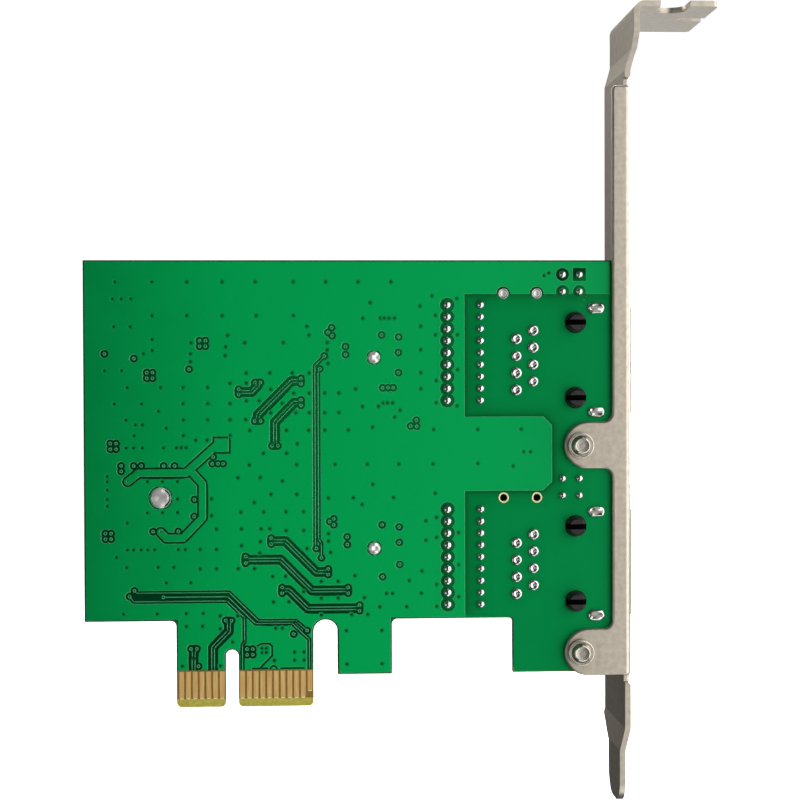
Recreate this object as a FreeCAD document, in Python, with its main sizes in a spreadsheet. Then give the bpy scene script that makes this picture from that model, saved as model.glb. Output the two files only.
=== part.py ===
import FreeCAD, Part

# Two-port network interface card with a full-height mounting bracket, in millimetres.
#
# Frame: X runs along the card towards the bracket, Z runs up from the contact edge, and Y runs
# through the board from the solder side (-Y) to the component side (+Y). The origin is the middle
# of the key slot on the contact edge, half way through the board.

import math
import os
import re

import Sketcher

doc = FreeCAD.newDocument("network_interface_card")


# ---------------------------------------------------------------- driving dimensions

DIMENSIONS = {
    # circuit board outline
    "board_thickness": 1.57,
    "board_left": -21.7,
    "board_right": 57.0,
    "board_top": 66.3,
    "board_foot": 12.9,
    "contact_tab_left": -8.22,
    "contact_tab_right": 12.05,
    "key_half_width": 0.95,
    "key_top": 8.55,
    "hook_left": 15.65,
    "hook_right": 23.75,
    "hook_foot": 4.7,
    "notch_right": 41.9,
    "tab_corner_radius": 0.75,
    "notch_corner_radius": 0.8,
    "bevel_height": 1.1,
    "bevel_depth": 0.38,
    # edge contacts
    "contact_pitch": 1.0,
    "contact_width": 0.7,
    "contact_thickness": 0.05,
    "contact_foot": 1.45,
    "short_contact_foot": 2.45,
    "contact_top": 5.35,
    "first_contact_x": 1.5,
    "last_contact_x": 11.5,
    # where the ports, modules and chips stand
    "upper_port_z": 51.4,
    "port_spacing": 30.48,
    "rear_pin_x": 42.47,
    "front_pin_x": 45.01,
    "pin_stagger": 1.27,
    "peg_x": 51.37,
    "peg_half_spacing": 5.63,
    "prong_x": 54.45,
    "lamp_rise": 11.5,
    "lamp_rear_lead_x": 49.4,
    "lamp_lead_pitch": 2.54,
    "module_left_pin_x": 32.1,
    "module_row_spacing": 5.0,
    "module_pin_pitch": 1.778,
    "module_rise": 1.15,
    "spare_hole_x": 40.5,
    "spare_hole_spacing": 5.0,
    "spare_hole_rise": 9.95,
    # holes in the board
    "lead_hole_radius": 0.45,
    "spare_hole_radius": 0.53,
    "peg_hole_radius": 1.6,
    "screw_hole_radius": 1.6,
    "prong_slot_length": 2.3,
    "prong_slot_width": 1.1,
    # bracket
    "sheet": 0.86,
    "plate_inner_x": 58.67,
    "plate_width": 18.42,
    "ear_width": 3.17,
    "top_step": 0.85,
    "top_step_foot": 94.5,
    "top_step_head": 97.6,
    "ear_taper_foot": 96.8,
    "ear_taper_head": 99.8,
    "flange_under_z": 103.47,
    "flange_end_x": 72.1,
    "flange_bend_radius": 1.6,
    "tongue_step": 0.8,
    "tongue_step_head": -3.9,
    "tongue_step_foot": -7.2,
    "tongue_width": 10.2,
    "tongue_taper_head": -4.7,
    "tongue_taper_foot": -7.4,
    "tongue_end": -15.2,
    "screw_notch_offset": 5.3,
    "screw_notch_width": 4.42,
    "screw_notch_centre_depth": 3.55,
    "end_slot_length": 4.0,
    "end_slot_low_y": 4.9,
    "end_slot_high_y": 7.4,
    "edge_flange_left": 56.75,
    "edge_flange_head": 92.3,
    "edge_flange_radius": 0.7,
    "tab_screw_x": 52.05,
    "lower_screw_z": 7.68,
    "upper_screw_z": 38.66,
    "tab_half_height": 3.5,
    "tab_end_x": 49.55,
    "tab_root_radius": 1.4,
    "collar_radius": 1.95,
    "collar_height": 0.75,
    "thread_radius": 1.5,
    "relief_height": 1.2,
    "relief_depth": 1.3,
    "relief_corner": 0.3,
    "tab_rim": 0.35,
    "window_width": 16.3,
    "window_low_y": 0.75,
    "window_high_y": 14.5,
    "lamp_window_radius": 1.65,
    # bracket screws
    "screw_shank_radius": 1.45,
    "screw_tip_radius": 1.05,
    "screw_end_y": -3.0,
    "screw_head_radius": 2.75,
    "screw_head_height": 1.9,
    "screw_socket_depth": 1.1,
    "screw_socket_width": 0.6,
    "screw_socket_span": 3.0,
    # port shells, blocks and contacts
    "shell_rear_x": 41.4,
    "shell_front_x": 60.0,
    "shell_width": 15.9,
    "shell_height": 13.4,
    "shell_sheet": 0.3,
    "shell_opening_width": 12.6,
    "shell_opening_low_y": 1.9,
    "shell_opening_high_y": 12.1,
    "prong_width": 1.7,
    "prong_end_y": -1.3,
    "spring_leaf_length": 6.0,
    "spring_leaf_width": 1.6,
    "spring_leaf_gap": 0.25,
    "cavity_width": 11.7,
    "cavity_low_y": 4.2,
    "cavity_high_y": 11.3,
    "cavity_rear_x": 47.6,
    "latch_width": 6.1,
    "latch_low_y": 2.7,
    "latch_step_width": 3.3,
    "latch_step_low_y": 1.7,
    "comb_width": 10.2,
    "comb_low_y": 11.0,
    "comb_high_y": 12.6,
    "pin_chamber_front_x": 46.3,
    "pin_chamber_rear_x": 42.0,
    "peg_radius": 1.5,
    "peg_end_y": -1.75,
    "peg_slit": 0.85,
    "wire_width": 0.45,
    "wire_thickness": 0.3,
    "wire_run_y": 11.9,
    "wire_pitch": 1.02,
    "wire_bend_x": 57.4,
    "wire_tip_x": 49.6,
    "wire_tip_y": 8.75,
    # lamps beside the ports
    "holder_rear_x": 48.2,
    "holder_front_x": 58.3,
    "holder_width": 4.9,
    "holder_height": 10.6,
    "holder_well_front_x": 53.2,
    "lamp_radius": 1.5,
    "lamp_front_x": 58.5,
    "lamp_low_y": 3.5,
    "lamp_spacing": 5.08,
    "lamp_lead": 0.45,
    # transformer modules
    "module_width": 9.4,
    "module_length": 16.4,
    "module_height": 6.2,
    "module_standoff": 0.3,
    "module_edge": 0.7,
    "lead_radius": 0.28,
    # solder joints on the solder side
    "joint_foot_radius": 0.72,
    "joint_tip_radius": 0.3,
    "joint_height": 0.62,
    "prong_joint_length": 2.7,
    "prong_joint_width": 1.7,
    "prong_joint_height": 0.3,
    # bridge chip with leads on four sides
    "bridge_x": -10.45,
    "bridge_z": 31.2,
    "bridge_size": 14.0,
    "bridge_height": 1.4,
    "bridge_standoff": 0.1,
    "bridge_lead_pitch": 0.8,
    "bridge_lead_width": 0.35,
    "bridge_lead_reach": 1.1,
    "bridge_lead_sheet": 0.15,
    # leadless network controllers
    "controller_x": 21.17,
    "upper_controller_z": 51.86,
    "lower_controller_z": 23.45,
    "controller_size": 9.0,
    "controller_height": 0.85,
    "controller_pad_pitch": 0.8,
    "controller_pad_width": 0.35,
    "controller_pad_thickness": 0.2,
    # small parts
    "crystal_length": 11.0,
    "crystal_width": 4.6,
    "crystal_height": 3.4,
    "crystal_base": 0.9,
    "coil_size": 6.8,
    "coil_height": 3.0,
    "can_radius": 3.15,
    "can_height": 5.4,
    "can_base": 6.6,
    "can_base_height": 0.8,
    "memory_length": 4.9,
    "memory_width": 3.9,
    "memory_height": 1.5,
    "regulator_length": 6.5,
    "regulator_width": 3.5,
    "regulator_height": 1.6,
    "small_cap_length": 1.6,
    "small_cap_width": 0.8,
    "small_cap_height": 0.8,
    "large_cap_length": 3.2,
    "large_cap_width": 1.6,
    "large_cap_height": 1.4,
    "resistor_length": 1.6,
    "resistor_width": 0.8,
    "resistor_height": 0.45,
    "end_cap": 0.3,
}

dims = doc.addObject("Spreadsheet::Sheet", "dims")
for row, (name, number) in enumerate(DIMENSIONS.items(), start=1):
    dims.set(f"A{row}", name)
    dims.set(f"B{row}", str(number))
    dims.setAlias(f"B{row}", name)
doc.recompute()


def bound(expression):
    """Write each plain name of an expression as a reference to its cell in the sheet."""
    return re.sub(r"[a-z][a-z_]*[a-z]", lambda word: "dims." + word.group(), expression)


def value(expression):
    """The number that an expression of cell names gives now."""
    return float(dims.evalExpression(bound(expression)))


def vec(x, y, z):
    return FreeCAD.Vector(x, y, z)


# Surfaces that several parts share, as expressions of the sheet's cells.
SOLDER_FACE = "-(board_thickness / 2)"
COMPONENT_FACE = "board_thickness / 2"
LOWER_PORT = "upper_port_z - port_spacing"
PORTS = {"upper": "upper_port_z", "lower": LOWER_PORT}
FLANGE_OUTER = f"{SOLDER_FACE} - sheet"
PLATE_FAR = f"{FLANGE_OUTER} + plate_width"
PLATE_OUTER = "plate_inner_x + sheet"
TOP_OUTER = f"{PLATE_OUTER} + top_step"
SCREWS = ("lower_screw_z", "upper_screw_z")
EDGE_FLANGE_FOOT = "lower_screw_z - tab_half_height"


# ---------------------------------------------------------------- sketches and features

def new_body(name):
    body = doc.addObject("PartDesign::Body", name)
    body.Label = name
    return body


def origin_plane(body, role):
    return next(feature for feature in body.Origin.OriginFeatures if feature.Role == role)


class Drawing:
    """A sketch on an origin plane of a body, with every point bound to the sheet.

    Its two directions are X, Z on XZ_Plane, Y, Z on YZ_Plane and X, Y on XY_Plane. "at" is the
    place of the sketch along the third axis.
    """

    def __init__(self, body, name, role, at="0"):
        self.sketch = body.newObject("Sketcher::SketchObject", name)
        self.sketch.AttachmentSupport = [(origin_plane(body, role), "")]
        self.sketch.MapMode = "FlatFace"
        sign = "-1 * " if role == "XZ_Plane" else ""
        self.sketch.setExpression(".AttachmentOffset.Base.z", bound(f"{sign}({at})"))

    def _bind(self, kind, geometry, point, expression):
        number = value(expression)
        if abs(number) < 1e-9:
            axis = -2 if kind == "DistanceX" else -1
            self.sketch.addConstraint(Sketcher.Constraint("PointOnObject", geometry, point, axis))
            return
        rule = Sketcher.Constraint(kind, -1, 1, geometry, point, number)
        index = self.sketch.addConstraint(rule)
        self.sketch.setExpression(f"Constraints[{index}]", bound(expression))

    def outline(self, corners):
        """A closed run of straight lines through corners given as pairs of expressions."""
        first = self.sketch.GeometryCount
        count = len(corners)
        points = [vec(value(across), value(up), 0) for across, up in corners]
        for start, end in zip(points, points[1:] + points[:1]):
            self.sketch.addGeometry(Part.LineSegment(start, end), False)
        for index in range(count):
            following = first + (index + 1) % count
            joined = Sketcher.Constraint("Coincident", first + index, 2, following, 1)
            self.sketch.addConstraint(joined)
        for index, (across, up) in enumerate(corners):
            self._bind("DistanceX", first + index, 1, across)
            self._bind("DistanceY", first + index, 1, up)
        return self

    def box(self, left, right, low, high):
        return self.outline([(left, low), (right, low), (right, high), (left, high)])

    def circle(self, across, up, radius):
        centre = vec(value(across), value(up), 0)
        shape = Part.Circle(centre, vec(0, 0, 1), value(radius))
        index = self.sketch.addGeometry(shape, False)
        size = self.sketch.addConstraint(Sketcher.Constraint("Radius", index, value(radius)))
        self.sketch.setExpression(f"Constraints[{size}]", bound(radius))
        self._bind("DistanceX", index, 3, across)
        self._bind("DistanceY", index, 3, up)
        return self


def pad(body, drawing, length, backwards=False):
    feature = body.newObject("PartDesign::Pad", drawing.sketch.Name + "_pad")
    feature.Profile = drawing.sketch
    feature.setExpression("Length", bound(length))
    feature.Reversed = backwards
    drawing.sketch.Visibility = False
    doc.recompute()
    return feature


def cut(body, drawing, length=None, backwards=False):
    """A pocket of a length, or right through the body on both sides of its sketch."""
    before = body.Shape.Volume
    feature = body.newObject("PartDesign::Pocket", drawing.sketch.Name + "_cut")
    feature.Profile = drawing.sketch
    feature.Reversed = backwards
    if length is None:
        feature.Type = "ThroughAll"
        feature.SideType = "Symmetric"
    else:
        feature.setExpression("Length", bound(length))
    drawing.sketch.Visibility = False
    doc.recompute()
    if not body.Shape.Volume < before - 1e-6:
        raise RuntimeError(feature.Name + " cuts nothing")
    return feature


def edges_where(shape, test):
    names = []
    for index, edge in enumerate(shape.Edges, start=1):
        if test(edge):
            names.append(f"Edge{index}")
    return names


def is_along(edge, axis):
    """True for a straight edge in the direction of one axis, named "x", "y" or "z"."""
    if not isinstance(edge.Curve, Part.Line):
        return False
    direction = edge.tangentAt(edge.FirstParameter)
    return abs(abs(getattr(direction, axis)) - 1) < 1e-6


def edge_near(edge, **place):
    """True where the middle of an edge has the given coordinates."""
    middle = edge.valueAt((edge.FirstParameter + edge.LastParameter) / 2)
    return all(abs(getattr(middle, axis) - number) < 0.02 for axis, number in place.items())


def round_edges(body, feature, name, radius, test, kind="Fillet"):
    names = edges_where(feature.Shape, test)
    rounded = body.newObject("PartDesign::" + kind, name)
    rounded.Base = (feature, names)
    rounded.setExpression("Radius" if kind == "Fillet" else "Size", bound(radius))
    doc.recompute()
    if not names or rounded.Shape.isNull() or not rounded.Shape.isValid():
        raise RuntimeError(f"{name} fails on edges {names}")
    return rounded


def place_parts(name, shape):
    """A sub-part whose shape is worked out here, from the sheet, as one or more solids."""
    part = doc.addObject("Part::Feature", name)
    part.Label = name
    part.Shape = shape
    part.Placement = FreeCAD.Placement()
    return part


def block(x0, x1, y0, y1, z0, z1):
    """A box between two corners."""
    return Part.makeBox(x1 - x0, y1 - y0, z1 - z0, vec(x0, y0, z0))


def prism(points, push):
    """A flat polygon pushed along a vector."""
    wire = Part.makePolygon(points + points[:1])
    return Part.Face(wire).extrude(push)


# ---------------------------------------------------------------- circuit board

def lead_places():
    """Where leads pass through the board, as (x, z) expressions, sorted by the part they serve."""
    places = {}
    for side, port in PORTS.items():
        pins = []
        for index in range(4):
            front_drop = f"pin_stagger * {3.5 - 2 * index}"
            rear_drop = f"pin_stagger * {2.5 - 2 * index}"
            pins.append(("front_pin_x", f"{port} + {front_drop}"))
            pins.append(("rear_pin_x", f"{port} + {rear_drop}"))
        places[side + "_port"] = pins
        lamp_z = f"{port} + lamp_rise"
        places[side + "_lamp"] = [
            (f"lamp_rear_lead_x + lamp_lead_pitch * {step}", f"{lamp_z} + lamp_lead_pitch * {turn}")
            for step in (0, 1)
            for turn in (0.5, -0.5)
        ]
        module_z = f"{port} + module_rise"
        places[side + "_module"] = [
            (f"module_left_pin_x + module_row_spacing * {row}", f"{module_z} + module_pin_pitch * {step}")
            for row in (0, 1)
            for step in range(-4, 5)
        ]
    return places


LEADS = lead_places()


def make_circuit_board():
    body = new_body("circuit_board")
    outline = Drawing(body, "board_outline", "XZ_Plane", SOLDER_FACE)
    outline.outline([
        ("board_left", "board_top"),
        ("board_left", "board_foot"),
        ("contact_tab_left", "board_foot"),
        ("contact_tab_left", "0"),
        ("contact_tab_right", "0"),
        ("contact_tab_right", "hook_foot"),
        ("hook_right", "hook_foot"),
        ("hook_right", "board_foot"),
        ("notch_right", "board_foot"),
        ("notch_right", "hook_foot"),
        ("board_right", "hook_foot"),
        ("board_right", "board_top"),
    ])
    pad(body, outline, "board_thickness", backwards=True)

    key = Drawing(body, "key_slot", "XZ_Plane")
    key.box("-(key_half_width)", "key_half_width", "-1", "key_top - key_half_width")
    cut(body, key)
    key_end = Drawing(body, "key_slot_end", "XZ_Plane")
    key_end.circle("0", "key_top - key_half_width", "key_half_width")
    cut(body, key_end)

    slot_radius = "(hook_left - contact_tab_right) / 2"
    slot_middle = "(hook_left + contact_tab_right) / 2"
    slot = Drawing(body, "hook_slot", "XZ_Plane")
    slot.box("contact_tab_right", "hook_left", "2", f"board_foot - {slot_radius}")
    cut(body, slot)
    slot_end = Drawing(body, "hook_slot_end", "XZ_Plane")
    slot_end.circle(slot_middle, f"board_foot - {slot_radius}", slot_radius)
    last = cut(body, slot_end)

    key_side = value("key_half_width")
    tab_sides = (value("contact_tab_left"), -key_side, key_side, value("contact_tab_right"))

    def is_tab_corner(edge):
        if not is_along(edge, "y"):
            return False
        return any(edge_near(edge, x=side, z=0) for side in tab_sides)

    def is_inner_corner(edge):
        if not is_along(edge, "y"):
            return False
        sides = (value("contact_tab_left"), value("hook_right"), value("notch_right"))
        return any(edge_near(edge, x=side, z=value("board_foot")) for side in sides)

    last = round_edges(body, last, "tab_corners", "tab_corner_radius", is_tab_corner)
    round_edges(body, last, "inner_corners", "notch_corner_radius", is_inner_corner)

    bevel = Drawing(body, "contact_edge_bevel", "YZ_Plane")
    bevel.outline([
        (SOLDER_FACE, "bevel_height"),
        (f"{SOLDER_FACE} - 1", "bevel_height"),
        (f"{SOLDER_FACE} - 1", "-1"),
        (f"{SOLDER_FACE} + bevel_depth", "-1"),
        (f"{SOLDER_FACE} + bevel_depth", "0"),
    ])
    bevel.outline([
        (COMPONENT_FACE, "bevel_height"),
        (f"{COMPONENT_FACE} - bevel_depth", "0"),
        (f"{COMPONENT_FACE} - bevel_depth", "-1"),
        (f"{COMPONENT_FACE} + 1", "-1"),
        (f"{COMPONENT_FACE} + 1", "bevel_height"),
    ])
    cut(body, bevel)

    for group, places in LEADS.items():
        holes = Drawing(body, group + "_holes", "XZ_Plane")
        for x, z in places:
            holes.circle(x, z, "lead_hole_radius")
        cut(body, holes)

    for side, port in PORTS.items():
        pegs = Drawing(body, side + "_peg_holes", "XZ_Plane")
        slots = Drawing(body, side + "_prong_slots", "XZ_Plane")
        spares = Drawing(body, side + "_spare_holes", "XZ_Plane")
        for turn in (1, -1):
            pegs.circle("peg_x", f"{port} + peg_half_spacing * {turn}", "peg_hole_radius")
            prong_z = f"{port} + (shell_width - shell_sheet) / 2 * {turn}"
            half_length = "prong_slot_length / 2"
            half_width = "prong_slot_width / 2"
            slots.box(f"prong_x - {half_length}", f"prong_x + {half_length}",
                      f"{prong_z} - {half_width}", f"{prong_z} + {half_width}")
            spare_x = f"spare_hole_x + spare_hole_spacing * {(1 - turn) // 2}"
            spares.circle(spare_x, f"{port} + spare_hole_rise", "spare_hole_radius")
        cut(body, pegs)
        cut(body, slots)
        cut(body, spares)

    screw_holes = Drawing(body, "screw_holes", "XZ_Plane")
    for screw in SCREWS:
        screw_holes.circle("tab_screw_x", screw, "screw_hole_radius")
    cut(body, screw_holes)
    return body


def make_edge_contacts(name, face, backwards):
    """Eighteen gold contacts on one face of the board, seven left of the key and eleven right."""
    body = new_body(name)
    half = "contact_width / 2"
    rows = []
    for label, start, occurrences, step in (("left", "-(first_contact_x)", 7, -1), ("right", "first_contact_x", 10, 1)):
        seed = Drawing(body, f"{name}_{label}", "XZ_Plane", face)
        seed.box(f"{start} - {half}", f"{start} + {half}", "contact_foot", "contact_top")
        rows.append((pad(body, seed, "contact_thickness", backwards), seed, occurrences, step))
    end_foot = "short_contact_foot" if name == "solder_side_contacts" else "contact_foot"
    end = Drawing(body, f"{name}_end", "XZ_Plane", face)
    end.box(f"last_contact_x - {half}", f"last_contact_x + {half}", end_foot, "contact_top")
    pad(body, end, "contact_thickness", backwards)
    for feature, seed, occurrences, step in rows:
        pattern = body.newObject("PartDesign::LinearPattern", seed.sketch.Name + "_row")
        pattern.Originals = [feature]
        pattern.Direction = (seed.sketch, ["H_Axis"])
        pattern.Reversed = step < 0
        pattern.setExpression("Length", bound(f"contact_pitch * {occurrences - 1}"))
        pattern.Occurrences = occurrences
        body.Tip = pattern
        doc.recompute()
    return body


# ---------------------------------------------------------------- bracket and its screws

def make_bracket():
    """One folded sheet: plate with an offset head and tongue, top flange, edge flange and tabs."""
    body = new_body("bracket")
    near = f"{FLANGE_OUTER} - ear_width"
    flange_top = "flange_under_z + sheet"
    tongue_outer = f"{PLATE_OUTER} - tongue_step"

    side = Drawing(body, "bracket_side", "XZ_Plane", near)
    side.outline([
        ("plate_inner_x - tongue_step", "tongue_end"),
        (tongue_outer, "tongue_end"),
        (tongue_outer, "tongue_step_foot"),
        (PLATE_OUTER, "tongue_step_head"),
        (PLATE_OUTER, "top_step_foot"),
        (TOP_OUTER, "top_step_head"),
        (TOP_OUTER, "flange_under_z"),
        ("flange_end_x", "flange_under_z"),
        ("flange_end_x", flange_top),
        ("plate_inner_x + top_step", flange_top),
        ("plate_inner_x + top_step", "top_step_head"),
        ("plate_inner_x", "top_step_foot"),
        ("plate_inner_x", "tongue_step_head"),
        ("plate_inner_x - tongue_step", "tongue_step_foot"),
    ])
    last = pad(body, side, "plate_width + ear_width", backwards=True)

    def is_outer_fold(edge):
        return is_along(edge, "y") and edge_near(edge, x=value("plate_inner_x + top_step"), z=value(flange_top))

    def is_inner_fold(edge):
        return is_along(edge, "y") and edge_near(edge, x=value(TOP_OUTER), z=value("flange_under_z"))

    last = round_edges(body, last, "outer_fold", "flange_bend_radius", is_outer_fold)
    round_edges(body, last, "inner_fold", "flange_bend_radius - sheet", is_inner_fold)

    front = Drawing(body, "plate_trim", "YZ_Plane")
    front.outline([
        (f"{near} - 1", "ear_taper_head"),
        (near, "ear_taper_head"),
        (FLANGE_OUTER, "ear_taper_foot"),
        (FLANGE_OUTER, "tongue_end - 1"),
        (f"{near} - 1", "tongue_end - 1"),
    ])
    front.outline([
        (PLATE_FAR, "tongue_taper_head"),
        (f"{FLANGE_OUTER} + tongue_width", "tongue_taper_foot"),
        (f"{FLANGE_OUTER} + tongue_width", "tongue_end - 1"),
        (f"{PLATE_FAR} + 1", "tongue_end - 1"),
        (f"{PLATE_FAR} + 1", "tongue_taper_head"),
    ])
    last = cut(body, front)

    def is_tongue_corner(edge):
        if not is_along(edge, "x"):
            return False
        ends = (value(FLANGE_OUTER), value(f"{FLANGE_OUTER} + tongue_width"))
        return any(edge_near(edge, y=end, z=value("tongue_end")) for end in ends)

    last = round_edges(body, last, "tongue_corners", "tongue_width * 0.36", is_tongue_corner)

    strip = Drawing(body, "edge_flange", "XZ_Plane", FLANGE_OUTER)
    strip.box("edge_flange_left", "plate_inner_x", EDGE_FLANGE_FOOT, "edge_flange_head")
    pad(body, strip, "sheet", backwards=True)
    for index, screw in enumerate(SCREWS):
        tab = Drawing(body, f"tab_{index}", "XZ_Plane", FLANGE_OUTER)
        low = f"{screw} - tab_half_height"
        high = f"{screw} + tab_half_height"
        tab.box("tab_end_x + tab_half_height", "edge_flange_left", low, high)
        pad(body, tab, "sheet", backwards=True)
        tab_end = Drawing(body, f"tab_end_{index}", "XZ_Plane", FLANGE_OUTER)
        tab_end.circle("tab_end_x + tab_half_height", screw, "tab_half_height")
        last = pad(body, tab_end, "sheet", backwards=True)

    root_heights = [
        value("lower_screw_z + tab_half_height"),
        value("upper_screw_z - tab_half_height"),
        value("upper_screw_z + tab_half_height"),
    ]

    def is_tab_root(edge):
        if not is_along(edge, "y"):
            return False
        return any(edge_near(edge, x=value("edge_flange_left"), z=height) for height in root_heights)

    def is_flange_corner(edge):
        return is_along(edge, "y") and edge_near(edge, x=value("edge_flange_left"), z=value("edge_flange_head"))

    last = round_edges(body, last, "tab_roots", "tab_root_radius", is_tab_root)
    last = round_edges(body, last, "flange_corner", "edge_flange_radius", is_flange_corner)

    relief = Drawing(body, "bend_reliefs", "YZ_Plane")
    relief_end = f"{FLANGE_OUTER} + relief_depth"
    relief.box(f"{FLANGE_OUTER} - 1", relief_end, "edge_flange_head", "edge_flange_head + relief_height")
    relief.box(f"{FLANGE_OUTER} - 1", relief_end, f"{EDGE_FLANGE_FOOT} - relief_height", EDGE_FLANGE_FOOT)
    last = cut(body, relief)

    def is_relief_corner(edge):
        middle = edge.valueAt((edge.FirstParameter + edge.LastParameter) / 2)
        return is_along(edge, "x") and abs(middle.y - value(relief_end)) < 0.01

    last = round_edges(body, last, "relief_corners", "relief_corner", is_relief_corner)

    def is_edge_fold(edge):
        middle = edge.valueAt((edge.FirstParameter + edge.LastParameter) / 2)
        return (is_along(edge, "z") and edge.Length > 80
                and abs(middle.x - value(PLATE_OUTER)) < 0.01 and abs(middle.y - value(FLANGE_OUTER)) < 0.01)

    last = round_edges(body, last, "edge_fold", "edge_flange_radius", is_edge_fold)

    def is_tab_rim(edge):
        box = edge.BoundBox
        return (abs(box.YMin - value(FLANGE_OUTER)) < 0.001 and abs(box.YMax - value(FLANGE_OUTER)) < 0.001
                and box.XMax < value("plate_inner_x") - 0.5 and box.XMin < value("edge_flange_left") + 0.01)

    round_edges(body, last, "tab_rims", "tab_rim", is_tab_rim)

    collars = Drawing(body, "screw_collars", "XZ_Plane", FLANGE_OUTER)
    bores = Drawing(body, "screw_bores", "XZ_Plane", COMPONENT_FACE)
    for screw in SCREWS:
        collars.circle("tab_screw_x", screw, "collar_radius")
        bores.circle("tab_screw_x", screw, "thread_radius")
    pad(body, collars, "collar_height")
    cut(body, bores, "board_thickness + sheet + collar_height + 1", backwards=True)

    windows = Drawing(body, "port_windows", "YZ_Plane", "plate_inner_x")
    for port in PORTS.values():
        windows.box("window_low_y", "window_high_y", f"{port} - window_width / 2", f"{port} + window_width / 2")
        for level in (0, 1):
            windows.circle(f"lamp_low_y + lamp_spacing * {level}", f"{port} + lamp_rise", "lamp_window_radius")
    cut(body, windows)

    centre_x = f"{TOP_OUTER} + screw_notch_offset"
    half = "screw_notch_width / 2"
    notch = Drawing(body, "screw_notch", "XY_Plane", "flange_under_z - 1")
    notch.box(f"{centre_x} - {half}", f"{centre_x} + {half}", f"{near} - 1", f"{near} + screw_notch_centre_depth")
    cut(body, notch, "sheet + 2", backwards=True)
    notch_end = Drawing(body, "screw_notch_end", "XY_Plane", "flange_under_z - 1")
    notch_end.circle(centre_x, f"{near} + screw_notch_centre_depth", half)
    cut(body, notch_end, "sheet + 2", backwards=True)
    slot = Drawing(body, "flange_end_slot", "XY_Plane", "flange_under_z - 1")
    slot.box("flange_end_x - end_slot_length", "flange_end_x + 1", "end_slot_low_y", "end_slot_high_y")
    last = cut(body, slot, "sheet + 2", backwards=True)

    def is_flange_end_corner(edge):
        if not is_along(edge, "z"):
            return False
        return any(edge_near(edge, x=value("flange_end_x"), y=value(end)) for end in (near, PLATE_FAR))

    round_edges(body, last, "flange_end_corners", "edge_flange_radius", is_flange_end_corner)
    return body


def make_bracket_screws():
    """Two pan-head screws with a cross recess, driven from the component side into the tabs."""
    body = new_body("bracket_screws")
    low = SCREWS[0]
    section = Drawing(body, "screw_section", "YZ_Plane", "tab_screw_x")
    section.outline([
        (COMPONENT_FACE, low),
        ("screw_end_y", low),
        ("screw_end_y", f"{low} + screw_tip_radius"),
        ("screw_end_y + 0.4", f"{low} + screw_shank_radius"),
        (COMPONENT_FACE, f"{low} + screw_shank_radius"),
        (COMPONENT_FACE, f"{low} + screw_head_radius"),
        (f"{COMPONENT_FACE} + screw_head_height * 0.55", f"{low} + screw_head_radius"),
        (f"{COMPONENT_FACE} + screw_head_height * 0.9", f"{low} + screw_head_radius * 0.78"),
        (f"{COMPONENT_FACE} + screw_head_height", f"{low} + screw_head_radius * 0.45"),
        (f"{COMPONENT_FACE} + screw_head_height", low),
    ])
    turn = body.newObject("PartDesign::Revolution", "screw_turned")
    turn.Profile = section.sketch
    first_edge = section.sketch.GeometryCount - 1
    turn.ReferenceAxis = (section.sketch, [f"Edge{first_edge + 1}"])
    turn.Angle = 360
    doc.recompute()
    socket = Drawing(body, "screw_socket", "XZ_Plane", f"{COMPONENT_FACE} + screw_head_height")
    half_span = "screw_socket_span / 2"
    half_width = "screw_socket_width / 2"
    socket.outline([
        (f"tab_screw_x - {half_span}", f"{low} - {half_width}"),
        (f"tab_screw_x - {half_width}", f"{low} - {half_width}"),
        (f"tab_screw_x - {half_width}", f"{low} - {half_span}"),
        (f"tab_screw_x + {half_width}", f"{low} - {half_span}"),
        (f"tab_screw_x + {half_width}", f"{low} - {half_width}"),
        (f"tab_screw_x + {half_span}", f"{low} - {half_width}"),
        (f"tab_screw_x + {half_span}", f"{low} + {half_width}"),
        (f"tab_screw_x + {half_width}", f"{low} + {half_width}"),
        (f"tab_screw_x + {half_width}", f"{low} + {half_span}"),
        (f"tab_screw_x - {half_width}", f"{low} + {half_span}"),
        (f"tab_screw_x - {half_width}", f"{low} + {half_width}"),
        (f"tab_screw_x - {half_span}", f"{low} + {half_width}"),
    ])
    recess = cut(body, socket, "screw_socket_depth", backwards=True)
    pair = body.newObject("PartDesign::LinearPattern", "screw_pair")
    pair.Originals = [turn, recess]
    pair.Direction = (section.sketch, ["V_Axis"])
    pair.setExpression("Length", bound("upper_screw_z - lower_screw_z"))
    pair.Occurrences = 2
    body.Tip = pair
    doc.recompute()
    return body


# ---------------------------------------------------------------- ports

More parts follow.
